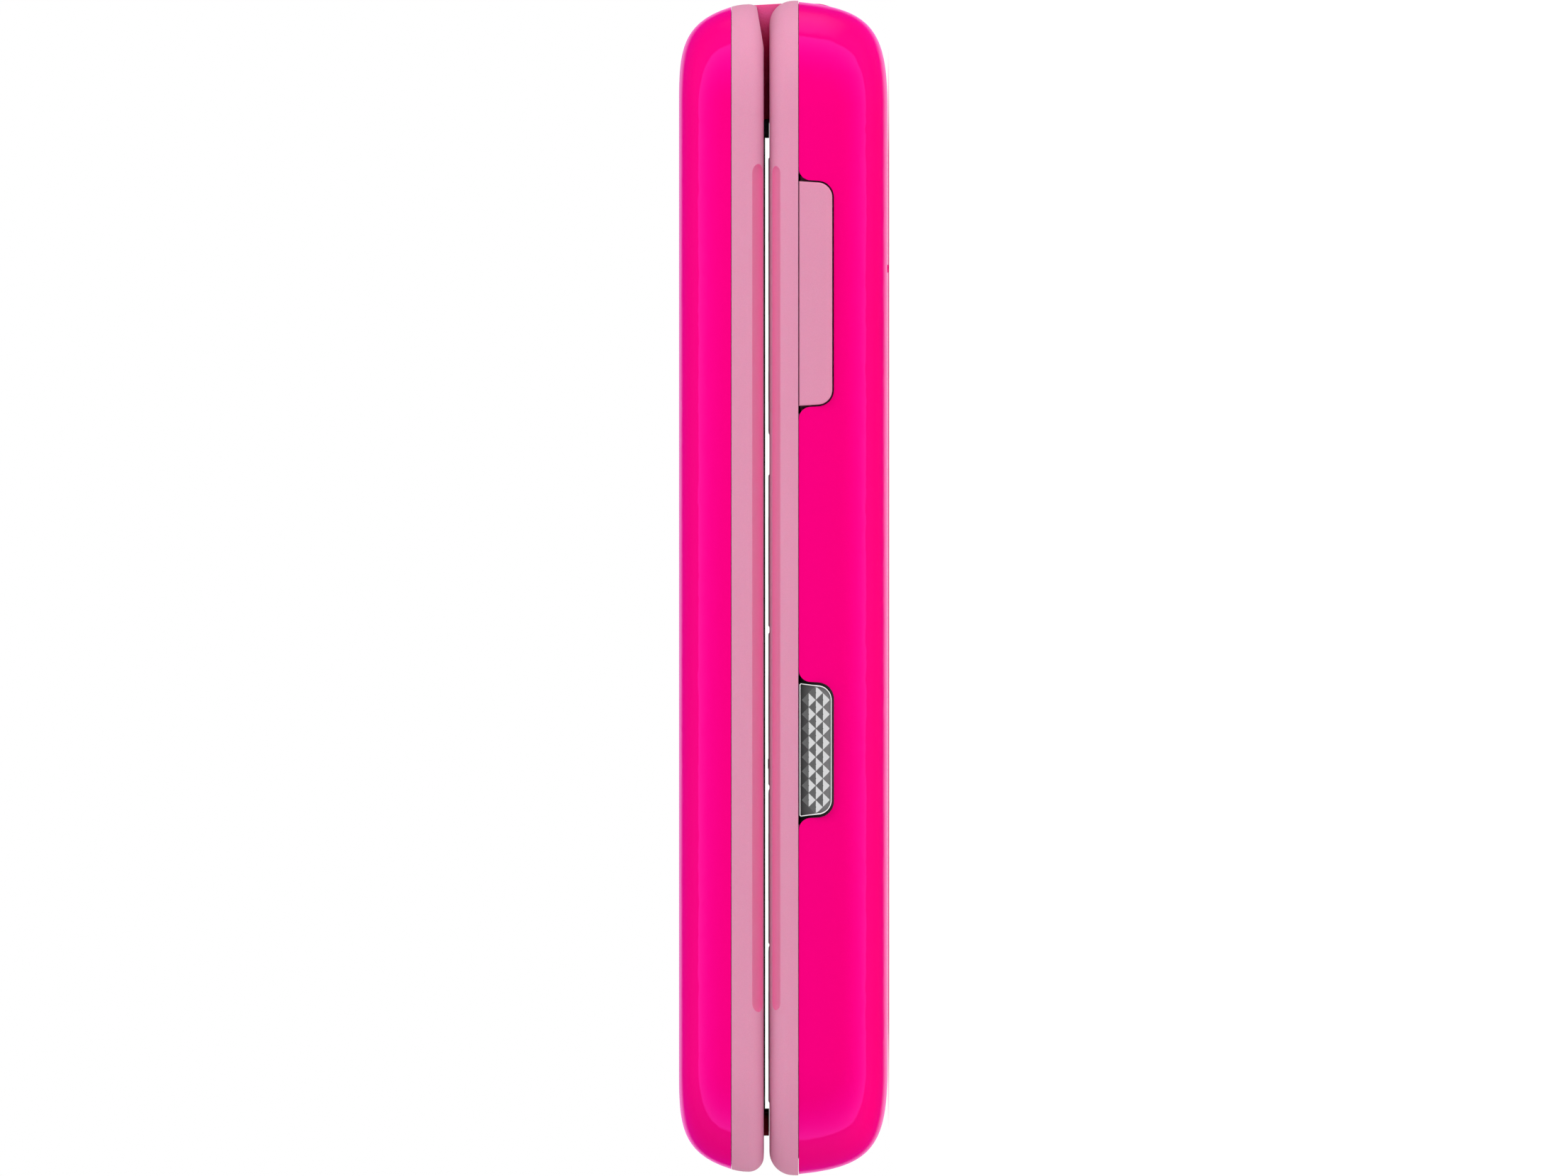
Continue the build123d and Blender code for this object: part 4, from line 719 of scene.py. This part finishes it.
def lettering(text, height):
    """A thin raised figure, centred on the origin."""
    curve = bpy.data.curves.new("figure", "FONT")
    curve.body = text
    curve.extrude = TEXT_DEPTH
    curve.resolution_u = TEXT_STEPS
    mesh = baked_mesh(bpy.data.objects.new("figure", curve))
    spread = [[vertex.co[axis] for vertex in mesh.vertices] for axis in range(3)]
    low = Vector([min(values) for values in spread])
    high = Vector([max(values) for values in spread])
    scale = height / (high.y - low.y)
    stretch = Matrix.Diagonal((scale, scale, INK_THICKNESS / (high.z - low.z), 1.0))
    mesh.transform(stretch @ Matrix.Translation(-middle_of(low, high)))
    shape = bmesh.new()
    shape.from_mesh(mesh)
    bmesh.ops.remove_doubles(shape, verts=shape.verts, dist=MERGE_DISTANCE)
    return finished(shape, "figure")


def arc(radius, start, end, steps=ARC_STEPS):
    """Points along an arc about the origin, its angles in degrees from +Y, clockwise."""
    angles = [math.radians(start + (end - start) * step / steps) for step in range(steps + 1)]
    return [(radius * math.sin(angle), radius * math.cos(angle)) for angle in angles]


def moved(outline, x, y, turn=0.0):
    """An outline turned about the origin, in degrees against the clock, and then moved."""
    swing = Matrix.Rotation(math.radians(turn), 2)
    return [swing @ Vector(point) + Vector((x, y)) for point in outline]


def handset(radius):
    """A telephone handset seen from the side, its hollow side down."""
    grip, ear, drop = 0.70 * radius, 0.42 * radius, 0.62 * radius
    end, start = 62, 34
    outline = arc(radius, -end, end) + arc(ear, end, start, 4)
    outline += arc(grip, start, -start) + arc(ear, -start, -end, 4)
    return [(x, y - drop) for x, y in outline]


def capsule(length, width):
    """A bar with round ends."""
    reach = (length - width) / 2
    right = moved(arc(width / 2, 0, 180), reach, 0)
    left = moved(arc(width / 2, 180, 360), -reach, 0)
    return right + left


def field_tree():
    """A modifier tree that lays copies of one shape out in columns and rows."""
    group = bpy.data.node_groups.new("field", "GeometryNodeTree")
    sockets = {
        "Shape": "NodeSocketObject",
        "Columns": "NodeSocketInt",
        "Rows": "NodeSocketInt",
        "Column pitch": "NodeSocketFloat",
        "Row pitch": "NodeSocketFloat",
        "Place": "NodeSocketVector",
        "Finish": "NodeSocketMaterial",
    }
    for name, kind in sockets.items():
        group.interface.new_socket(name, in_out="INPUT", socket_type=kind)
    group.interface.new_socket("Pieces", in_out="OUTPUT", socket_type="NodeSocketGeometry")
    tree = Tree(group)
    given = tree.outputs_of("NodeGroupInput")
    grid = tree.node(
        "GeometryNodeMeshGrid",
        {},
        {
            "Size X": (given["Columns"] - 1) * given["Column pitch"],
            "Size Y": (given["Rows"] - 1) * given["Row pitch"],
            "Vertices X": given["Columns"],
            "Vertices Y": given["Rows"],
        },
    )
    spots = tree.node("GeometryNodeTransform", {}, {"Geometry": grid, "Translation": given["Place"]})
    shape = tree.node("GeometryNodeObjectInfo", {}, {"Object": given["Shape"]}, "Geometry")
    copies = tree.node("GeometryNodeInstanceOnPoints", {}, {"Points": spots, "Instance": shape})
    real = tree.node("GeometryNodeRealizeInstances", {}, {"Geometry": copies})
    dressed = tree.node("GeometryNodeSetMaterial", {}, {"Geometry": real, "Material": given["Finish"]})
    tree.node("NodeGroupOutput", {}, {"Pieces": dressed})
    return group


def field(group, unit, counts, pitches, place, material):
    """A mesh with copies of a small one in columns and rows."""
    sample = bpy.data.objects.new("unit", unit)
    bpy.context.scene.collection.objects.link(sample)
    holder = bpy.data.objects.new("field", bpy.data.meshes.new("field"))
    modifier = holder.modifiers.new("field", "NODES")
    modifier.node_group = group
    values = {
        "Shape": sample,
        "Columns": counts[0],
        "Rows": counts[1],
        "Column pitch": pitches[0],
        "Row pitch": pitches[1],
        "Place": place,
        "Finish": material,
    }
    for item in group.interface.items_tree:
        if item.in_out == "INPUT":
            modifier[item.identifier] = values[item.name]
    mesh = baked_mesh(holder)
    bpy.data.objects.remove(sample)
    return mesh


def joined(meshes):
    """One mesh of several."""
    shape = bmesh.new()
    for mesh in meshes:
        shape.from_mesh(mesh)
    return finished(shape, "joined")


def bar(size):
    """A small box about the origin with chamfered edges."""
    shape = bmesh.new()
    bmesh.ops.create_cube(shape, size=1.0, matrix=Matrix.Diagonal((*size, 1.0)))
    chamfer = min(size) * BAR_CHAMFER
    bmesh.ops.bevel(shape, geom=shape.edges[:], offset=chamfer, segments=1, affect="EDGES")
    return finished(shape, "bar")


# ------------------------------------------------------------------ the added pieces
def print_figures(material):
    """The figure on each number key."""
    figures = {f"key_{figure}": figure for figure in "1234567890"}
    figures.update({"key_star": "*", "key_hash": "#"})
    for name, figure in figures.items():
        low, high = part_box(name)
        mesh = lettering(figure, STAR_HEIGHT if figure == "*" else FIGURE_HEIGHT)
        place = middle_of(low, high)
        place.z = high.z - INK_SINK + INK_THICKNESS / 2
        mesh.transform(Matrix.Translation(place))
        keep(f"{name}_figure", mesh, material, name)


def print_mark(key, outline, material, name):
    """A printed mark on a key, its outline given from the key's middle."""
    low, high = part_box(key)
    centre = middle_of(low, high)
    bottom = high.z - INK_SINK
    mesh = plate(moved(outline, centre.x, centre.y), bottom, bottom + INK_THICKNESS)
    keep(name, mesh, material, key)


def mark_function_keys(plum, green, red):
    """Handsets on the call keys, bars on the soft keys, arrows round the ring and a ring in its middle."""
    receiver = handset(HANDSET_RADIUS)
    print_mark("call_key", moved(receiver, 0, 0, CALL_MARK_TURN), green, "call_mark")
    print_mark("end_key", moved(receiver, 0, END_MARK_RISE), red, "end_mark")
    for side in ("left", "right"):
        print_mark(f"soft_key_{side}", capsule(*SOFT_BAR), plum, f"soft_mark_{side}")
    ring_low, ring_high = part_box("nav_ring")
    key_low, key_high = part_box("select_key")
    reach_x = (ring_high.x + key_high.x) / 2
    reach_y = (ring_high.y + key_high.y) / 2 - middle_of(ring_low, ring_high).y
    foot, point = -0.6 * ARROW_SIZE, 0.8 * ARROW_SIZE
    tip = [(-ARROW_SIZE, foot), (ARROW_SIZE, foot), (0, point)]
    arrows = {"up": (0, reach_y, 0), "left": (-reach_x, 0, 90), "down": (0, -reach_y, 180)}
    arrows["right"] = (reach_x, 0, 270)
    for way, (x, y, turn) in arrows.items():
        print_mark("nav_ring", moved(tip, x, y, turn), plum, f"arrow_{way}")
    outer, inner = SELECT_RING
    section = [(outer, 0), (outer, INK_THICKNESS), (inner, INK_THICKNESS), (inner, 0)]
    centre = middle_of(key_low, key_high)
    centre.z = key_high.z - INK_SINK
    mesh = turned(section, Matrix.Translation(centre), closed=True)
    keep("select_mark", mesh, plum, "select_key")


def raise_touch_mark(material):
    """The raised bar below the five, for finding the keys by touch."""
    low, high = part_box("key_5")
    centre = middle_of(low, high)
    outline = moved(capsule(*TOUCH_MARK_SIZE), centre.x, centre.y - TOUCH_MARK_DROP)
    mesh = plate(outline, high.z - INK_SINK, high.z + TOUCH_MARK_HEIGHT, TOUCH_MARK_CHAMFER)
    keep("touch_mark", mesh, material, "key_5")


def edge_the_help_key(material):
    """The bead round the help key's face: a rounded rim, made pale as a painted highlight along the edge.
    """
    low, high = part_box("emergency_key")
    middle = middle_of(low, high)
    inset = KEY_FLANGE + BEAD_RADIUS
    half = (high.y - low.y) / 2 - inset
    corner = KEY_CORNER - BEAD_RADIUS
    top = high.z - BEAD_RADIUS
    centre_y, centre_z = half - KEY_DRAFT - corner, low.z + inset + corner
    turns = [math.radians(90 * step / BEAD_STEPS) for step in range(BEAD_STEPS + 1)]
    bend = [(centre_y + corner * math.cos(turn), centre_z - corner * math.sin(turn)) for turn in turns]
    outline = [(half - BEAD_CUT, top), (half, top - BEAD_CUT)] + bend
    outline += [(-y, z) for y, z in reversed(outline)]
    curve = bpy.data.curves.new("bead", "CURVE")
    curve.dimensions = "3D"
    curve.bevel_depth = BEAD_RADIUS
    curve.bevel_resolution = BEAD_ROUNDNESS
    spline = curve.splines.new("POLY")
    spline.points.add(len(outline) - 1)
    spline.use_cyclic_u = True
    for point, (y, z) in zip(spline.points, outline):
        point.co = (high.x - BEAD_SINK, middle.y + y, z, 1.0)
    mesh = baked_mesh(bpy.data.objects.new("bead", curve))
    keep("emergency_key_bead", mesh, material, "emergency_key")


def woven_mesh(group, size, centre, material):
    """A woven wire cloth: warp wires over weft wires."""
    counts = [round(length / WEAVE_PITCH) for length in size]
    along = bar((size[0], WIRE_THICKNESS, WIRE_THICKNESS))
    across = bar((WIRE_THICKNESS, size[1], WIRE_THICKNESS))
    lift = Vector((0, 0, WEAVE_LIFT * WIRE_THICKNESS))
    pitches = (WEAVE_PITCH, WEAVE_PITCH)
    warp = field(group, along, (1, counts[1]), pitches, centre + lift, material)
    weft = field(group, across, (counts[0], 1), pitches, centre - lift, material)
    return joined([warp, weft])


def add_sound_meshes(group, material):
    """The wire cloth behind the loudspeaker's openings, and behind the earpiece's slot."""
    low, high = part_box("loudspeaker")
    centre = middle_of(low, high)
    centre.z = SPEAKER_MESH_Z
    mesh = woven_mesh(group, SPEAKER_MESH_SIZE, centre, material)
    keep("speaker_mesh", mesh, material, "base")
    spot = Vector((0, EARPIECE_Y, EARPIECE_MESH_Z))
    mesh = woven_mesh(group, EARPIECE_SLOT, spot, material)
    keep("earpiece_mesh", mesh, material, "lid")


def add_sockets(group, gold, chrome):
    """Gold contacts on the charging tongue, and the bright bezel of the headphone socket."""
    low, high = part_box("charging_port")
    middle = middle_of(low, high)
    start_y = low.y + TONGUE_INSET + CONTACT_SETBACK + CONTACT_SIZE[1] / 2
    counts = (CONTACT_COUNT, 1)
    pitches = (CONTACT_PITCH, CONTACT_PITCH)
    strips = []
    for side in (-1, 1):
        z = middle.z + side * (TONGUE_THICKNESS / 2 + CONTACT_SIZE[2] / 2)
        place = Vector((middle.x, start_y, z))
        strips.append(field(group, bar(CONTACT_SIZE), counts, pitches, place, gold))
    keep("charging_contacts", joined(strips), gold, "base")
    low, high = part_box("headphone_jack")
    centre = Vector((middle_of(low, high).x, low.y, low.z + JACK_CENTRE_HEIGHT))
    inner, outer, thick = JACK_BORE_RADIUS, JACK_BORE_RADIUS + 0.75 * JACK_WALL, BEZEL_THICKNESS
    section = [(inner, 0), (inner, 0.8 * thick), (inner + 0.2 * thick, thick)]
    section += [(outer - 0.3 * thick, thick), (outer, 0.7 * thick), (outer, 0)]
    facing_out = Matrix.Rotation(math.radians(90), 4, "X")
    bezel = turned(section, Matrix.Translation(centre) @ facing_out, closed=True)
    keep("jack_bezel", bezel, chrome, "base")


def upright_axis(low, high):
    """The place of a turned piece that stands in the middle of a box seen from above."""
    return Matrix.Translation((*middle_of(low, high).xy, 0))


def add_camera_glass(coat, black):
    """The camera's front element, and the stepped baffle round it."""
    low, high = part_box("camera_ring")
    axis = upright_axis(low, high)
    front = high.z - CAMERA_FRONT_SINK
    edge = front - CAMERA_LENS_SINK
    rise = CAMERA_LENS_SINK + CAMERA_LENS_RISE
    shares = [step / LENS_STEPS for step in range(LENS_STEPS + 1)]
    dome = [(CAMERA_LENS_RADIUS * share, edge + rise * math.sqrt(1 - share * share)) for share in shares]
    keep("camera_lens", turned(dome + [(0, edge - LENS_FOOT)], axis), coat, "lid")
    baffle = []
    for radius in BAFFLE_RADII:
        inner = radius - BAFFLE_WIDTH
        baffle += [(radius, front), (radius, front + BAFFLE_HEIGHT)]
        baffle += [(inner, front + BAFFLE_HEIGHT), (inner, front)]
    bottom = front - LENS_FOOT
    baffle += [(BAFFLE_RADII[-1] - BAFFLE_WIDTH, bottom), (BAFFLE_RADII[0], bottom)]
    keep("camera_baffle", turned(baffle, axis, closed=True), black, "lid")


def add_flash_rings(flash):
    """The fine rings on the flash's lens."""
    low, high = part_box("flash_lens")
    radius = (high.x - low.x) / 2 - FLASH_MARGIN
    width = radius / FLASH_GROOVES
    base = high.z - FLASH_SINK
    bottom = base - LENS_FOOT
    teeth = [(0, bottom), (radius, bottom), (radius, base)]
    for ring in range(FLASH_GROOVES, 0, -1):
        teeth += [(ring * width - FLASH_STEP, base + FLASH_RISE), ((ring - 1) * width, base)]
    keep("flash_rings", turned(teeth, upright_axis(low, high)), flash, "lid")


# ------------------------------------------------------------------ camera, light and floor
def make_camera():
    """A long lens that looks at the keys' side, with the hinge end up."""
    data = bpy.data.cameras.new("camera")
    data.sensor_width = SENSOR_WIDTH
    data.lens = SENSOR_WIDTH * CAMERA_DISTANCE / FRAME_WIDTH
    data.clip_start = CLIP_START
    data.clip_end = CLIP_END
    camera = bpy.data.objects.new("camera", data)
    bpy.context.scene.collection.objects.link(camera)
    right, up, back = Vector((0, 0, -1)), Vector((0, 1, 0)), Vector((1, 0, 0))
    turn = Matrix((right, up, back)).transposed().to_4x4()
    place = Vector((FRAMED_PLANE_X + CAMERA_DISTANCE, 0, FRAME_CENTRE_Z))
    camera.matrix_world = Matrix.Translation(place) @ turn
    bpy.context.scene.camera = camera


def make_lamp(name, place, target, size, watts, mirrored=False):
    """An area lamp that faces its target. Gloss doesn't show it, unless it is mirrored."""
    data = bpy.data.lights.new(name, "AREA")
    data.shape = "RECTANGLE"
    data.size, data.size_y = size
    data.energy = watts
    lamp = bpy.data.objects.new(name, data)
    bpy.context.scene.collection.objects.link(lamp)
    lamp.location = place
    lamp.rotation_mode = "QUATERNION"
    lamp.rotation_quaternion = (Vector(target) - Vector(place)).to_track_quat("-Z", "Y")
    lamp.visible_glossy = mirrored
    return lamp


def make_world():
    """A pale studio, white where it is seen itself.

    Gloss mirrors a dark room with bands of light beside the object, off its ends and behind it, so that the
    pink stays deep. Plain surfaces are lit by a softer and brighter one.
    """
    world = bpy.data.worlds.new("studio")
    bpy.context.scene.world = world
    world.use_nodes = True
    tree = Tree(world.node_tree)
    way = tree.node("ShaderNodeTexCoord", output="Generated")
    x, y, z = tree.parts_of(way)
    path = tree.outputs_of("ShaderNodeLightPath")
    front_band = x.between(0.80, 0.10) * x.between(0.055, 0.085)
    beside = x.between(0.06, 0.0) * x.between(-0.4, 0.0) * MIRRORED_BESIDE
    behind = x.between(-0.88, -0.98) * MIRRORED_BEHIND
    past_ends = (y + abs(y) * 4).between(3.6, 4.6) * abs(z).between(0.42, 0.18)
    past_ends = past_ends * x.between(0.0, -0.1) * MIRRORED_ENDS
    mirrored = front_band + beside + behind + past_ends + MIRRORED_DARK
    ambient = AMBIENT + x.between(0.95, 0.5) * x.between(-0.6, 0.1) * AMBIENT_BESIDE
    ambient = ambient + x.between(-0.1, -0.6) * AMBIENT_BEHIND
    ambient = ambient + abs(z).between(0.25, 0.85) * AMBIENT_ACROSS
    ambient = ambient + z.between(0.25, 0.85) * AMBIENT_ABOVE + y * AMBIENT_ALONG
    in_gloss = path["Is Glossy Ray"].most(path["Is Transmission Ray"])
    level = ambient * (1 - in_gloss) + mirrored * in_gloss
    seen = path["Is Camera Ray"]
    level = level * (1 - seen) + seen
    background = tree.node("ShaderNodeBackground", {}, {"Color": (1.0, 1.0, 1.0), "Strength": level})
    tree.node("ShaderNodeOutputWorld", {}, {"Surface": background})


def make_floor():
    """A white floor that keeps the object's shadow and lights the object a little from below.

    It is plain white off the object's two ends, and a little brighter far out, where the lamps don't reach.
    """
    mesh = bpy.data.meshes.new("floor")
    half = FLOOR_HALF
    corners = [(-half, -half, 0), (half, -half, 0), (half, half, 0), (-half, half, 0)]
    mesh.from_pydata(corners, [], [(0, 1, 2, 3)])
    floor = bpy.data.objects.new("floor", mesh)
    bpy.context.scene.collection.objects.link(floor)
    floor.location.z = -FLOOR_DROP
    material = bpy.data.materials.new("white_floor")
    material.use_nodes = True
    tree = Tree(material.node_tree)
    x, y, _ = tree.parts_of(tree.place())
    _, high = cad_box
    under = abs(x).between(high.x + UNDER_MARGIN, high.x) * abs(y).between(high.y + UNDER_MARGIN, high.y)
    seen = tree.node("ShaderNodeLightPath", output="Is Camera Ray")
    far = abs(x).most(abs(y)).between(*FAR_FLOOR)
    past_end = abs(y).between(high.y - END_FADE[0], high.y - END_FADE[1])
    glow = (FLOOR_GLOW + under * UNDER_GLOW) * (1 - seen) + (SEEN_GLOW + far * FAR_GLOW) * seen
    diffuse = tree.node("ShaderNodeBsdfDiffuse", {}, {"Color": FLOOR_WHITE})
    lift = tree.node("ShaderNodeEmission", {}, {"Color": (1, 1, 1), "Strength": glow})
    lit = tree.node("ShaderNodeAddShader", {}, {0: diffuse, 1: lift})
    plain = tree.node("ShaderNodeEmission", {}, {"Color": (1, 1, 1), "Strength": 1.0})
    mixed = tree.node("ShaderNodeMixShader", {}, {0: past_end * seen, 1: lit, 2: plain})
    tree.node("ShaderNodeOutputMaterial", {}, {"Surface": mixed})
    mesh.materials.append(material)
    floor.visible_glossy = False


def light_the_studs():
    """A strip lamp that only the help key sees, so that one side of each stud is bright."""
    key = nodes["emergency_key"]
    low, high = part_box("emergency_key")
    spot = middle_of(low, high)
    spot.x = high.x
    away = Vector(STUD_LAMP_WAY) * STUD_LAMP_DISTANCE
    size = [share * STUD_LAMP_DISTANCE for share in STUD_LAMP_SIZE]
    watts = math.pi * size[0] * size[1] * STUD_LAMP_LEVEL
    lamp = make_lamp("stud_light", spot + away, spot, size, watts, mirrored=True)
    lamp.visible_camera = False
    only = bpy.data.collections.new("help_key")
    only.objects.link(key)
    lamp.light_linking.receiver_collection = only
    lamp.light_linking.blocker_collection = only


def make_studio():
    """The world, the floor and the lamps."""
    bpy.context.scene.view_settings.view_transform = "Standard"
    make_world()
    make_floor()
    for name, (place, watts) in {"upper_light": UPPER_LIGHT, "lower_light": LOWER_LIGHT}.items():
        make_lamp(name, place, LAMP_TARGET, LAMP_SIZE, watts)
    light_the_studs()


make_camera()
make_studio()

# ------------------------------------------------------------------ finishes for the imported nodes
pink = glossy_cover()
# the frames' finger grooves get a painted shade
frame_grain = grained("pale_pink_grain", PALE_PINK, finger_groove_shade, FRAME_GRAIN, 0.52)
keys = [name for name in nodes if name.startswith(("key_", "soft_key"))]
dress(["base_cover", "lid_cover"], pink)
dress(["base_frame", "lid_frame", "volume_rocker"], frame_grain)
# the knuckle's colour is painted shade: a fuller pink, with deep rose painted on its end faces
dress(["hinge_knuckle"], grained("knuckle_shade_grain", KNUCKLE_SHADED_PINK, knuckle_end_shade, KNUCKLE_GRAIN, 0.6))
satin = satin_key()
dress(keys + ["call_key", "end_key", "select_key", "nav_ring"], satin)
# the lid stops are painted dark as the shade they sit in
dress(["lid_bumpers"], moulded("soft_stop", SOFT_STOP_SHADE, 0.62, 0.1))
dress(["nav_carrier"], moulded("grey_rubber", GREY_RUBBER, 0.7))
dress(["hinge_buffer"], moulded("buffer_rubber", BUFFER_GREY, 0.7))
dress(["keypad_mat"], moulded("silicone_mat", DEEP_PINK, 0.6))
dress(["emergency_key"], studded_metal())
ring_metal = metal("turned_ring", SILVER, 0.2)
dress(["camera_ring"], ring_metal)
dress_windows()
black = moulded("black_moulding", BLACK_PLASTIC, 0.45)
dress(["base_chassis", "headphone_jack", "battery_contacts", "loudspeaker"], black)
dress(["camera_module", "earpiece", "microphone"], black)
dress(["main_board", "lid_board"], circuit_board())
dress(["flex_cable", "side_switches", "antenna"], moulded("amber_film", AMBER_FILM, 0.3))
dress(["battery"], moulded("cell_wrap", CELL_WRAP, 0.4))
plated = metal("plated_steel", STEEL, 0.25)
dress(["charging_port", "card_holder", "shield_can", "hinge_housing", "hinge_cam"], plated)
dress(["hinge_follower", "hinge_spring", "hinge_bush"], plated)
dress(["base_screws", "lid_screws", "lid_magnet"], metal("black_screw", DARK_STEEL, 0.35))
flash = flash_plastic()
dress(["flash_lens"], flash)

# ------------------------------------------------------------------ marks, meshes and lenses
plum_ink = ink("plum_ink", LEGEND_PLUM)
print_figures(plum_ink)
mark_function_keys(plum_ink, ink("green_ink", CALL_GREEN), ink("red_ink", END_RED))
raise_touch_mark(satin)
# the bead's pale colour is a painted highlight
edge_the_help_key(bead_highlight_satin())
fields = field_tree()
add_sound_meshes(fields, metal("mesh_wire", DARK_STEEL, 0.4))
add_sockets(fields, metal("gold_plate", GOLD, 0.2), ring_metal)
add_camera_glass(lens_coat(), black)
add_flash_rings(flash)
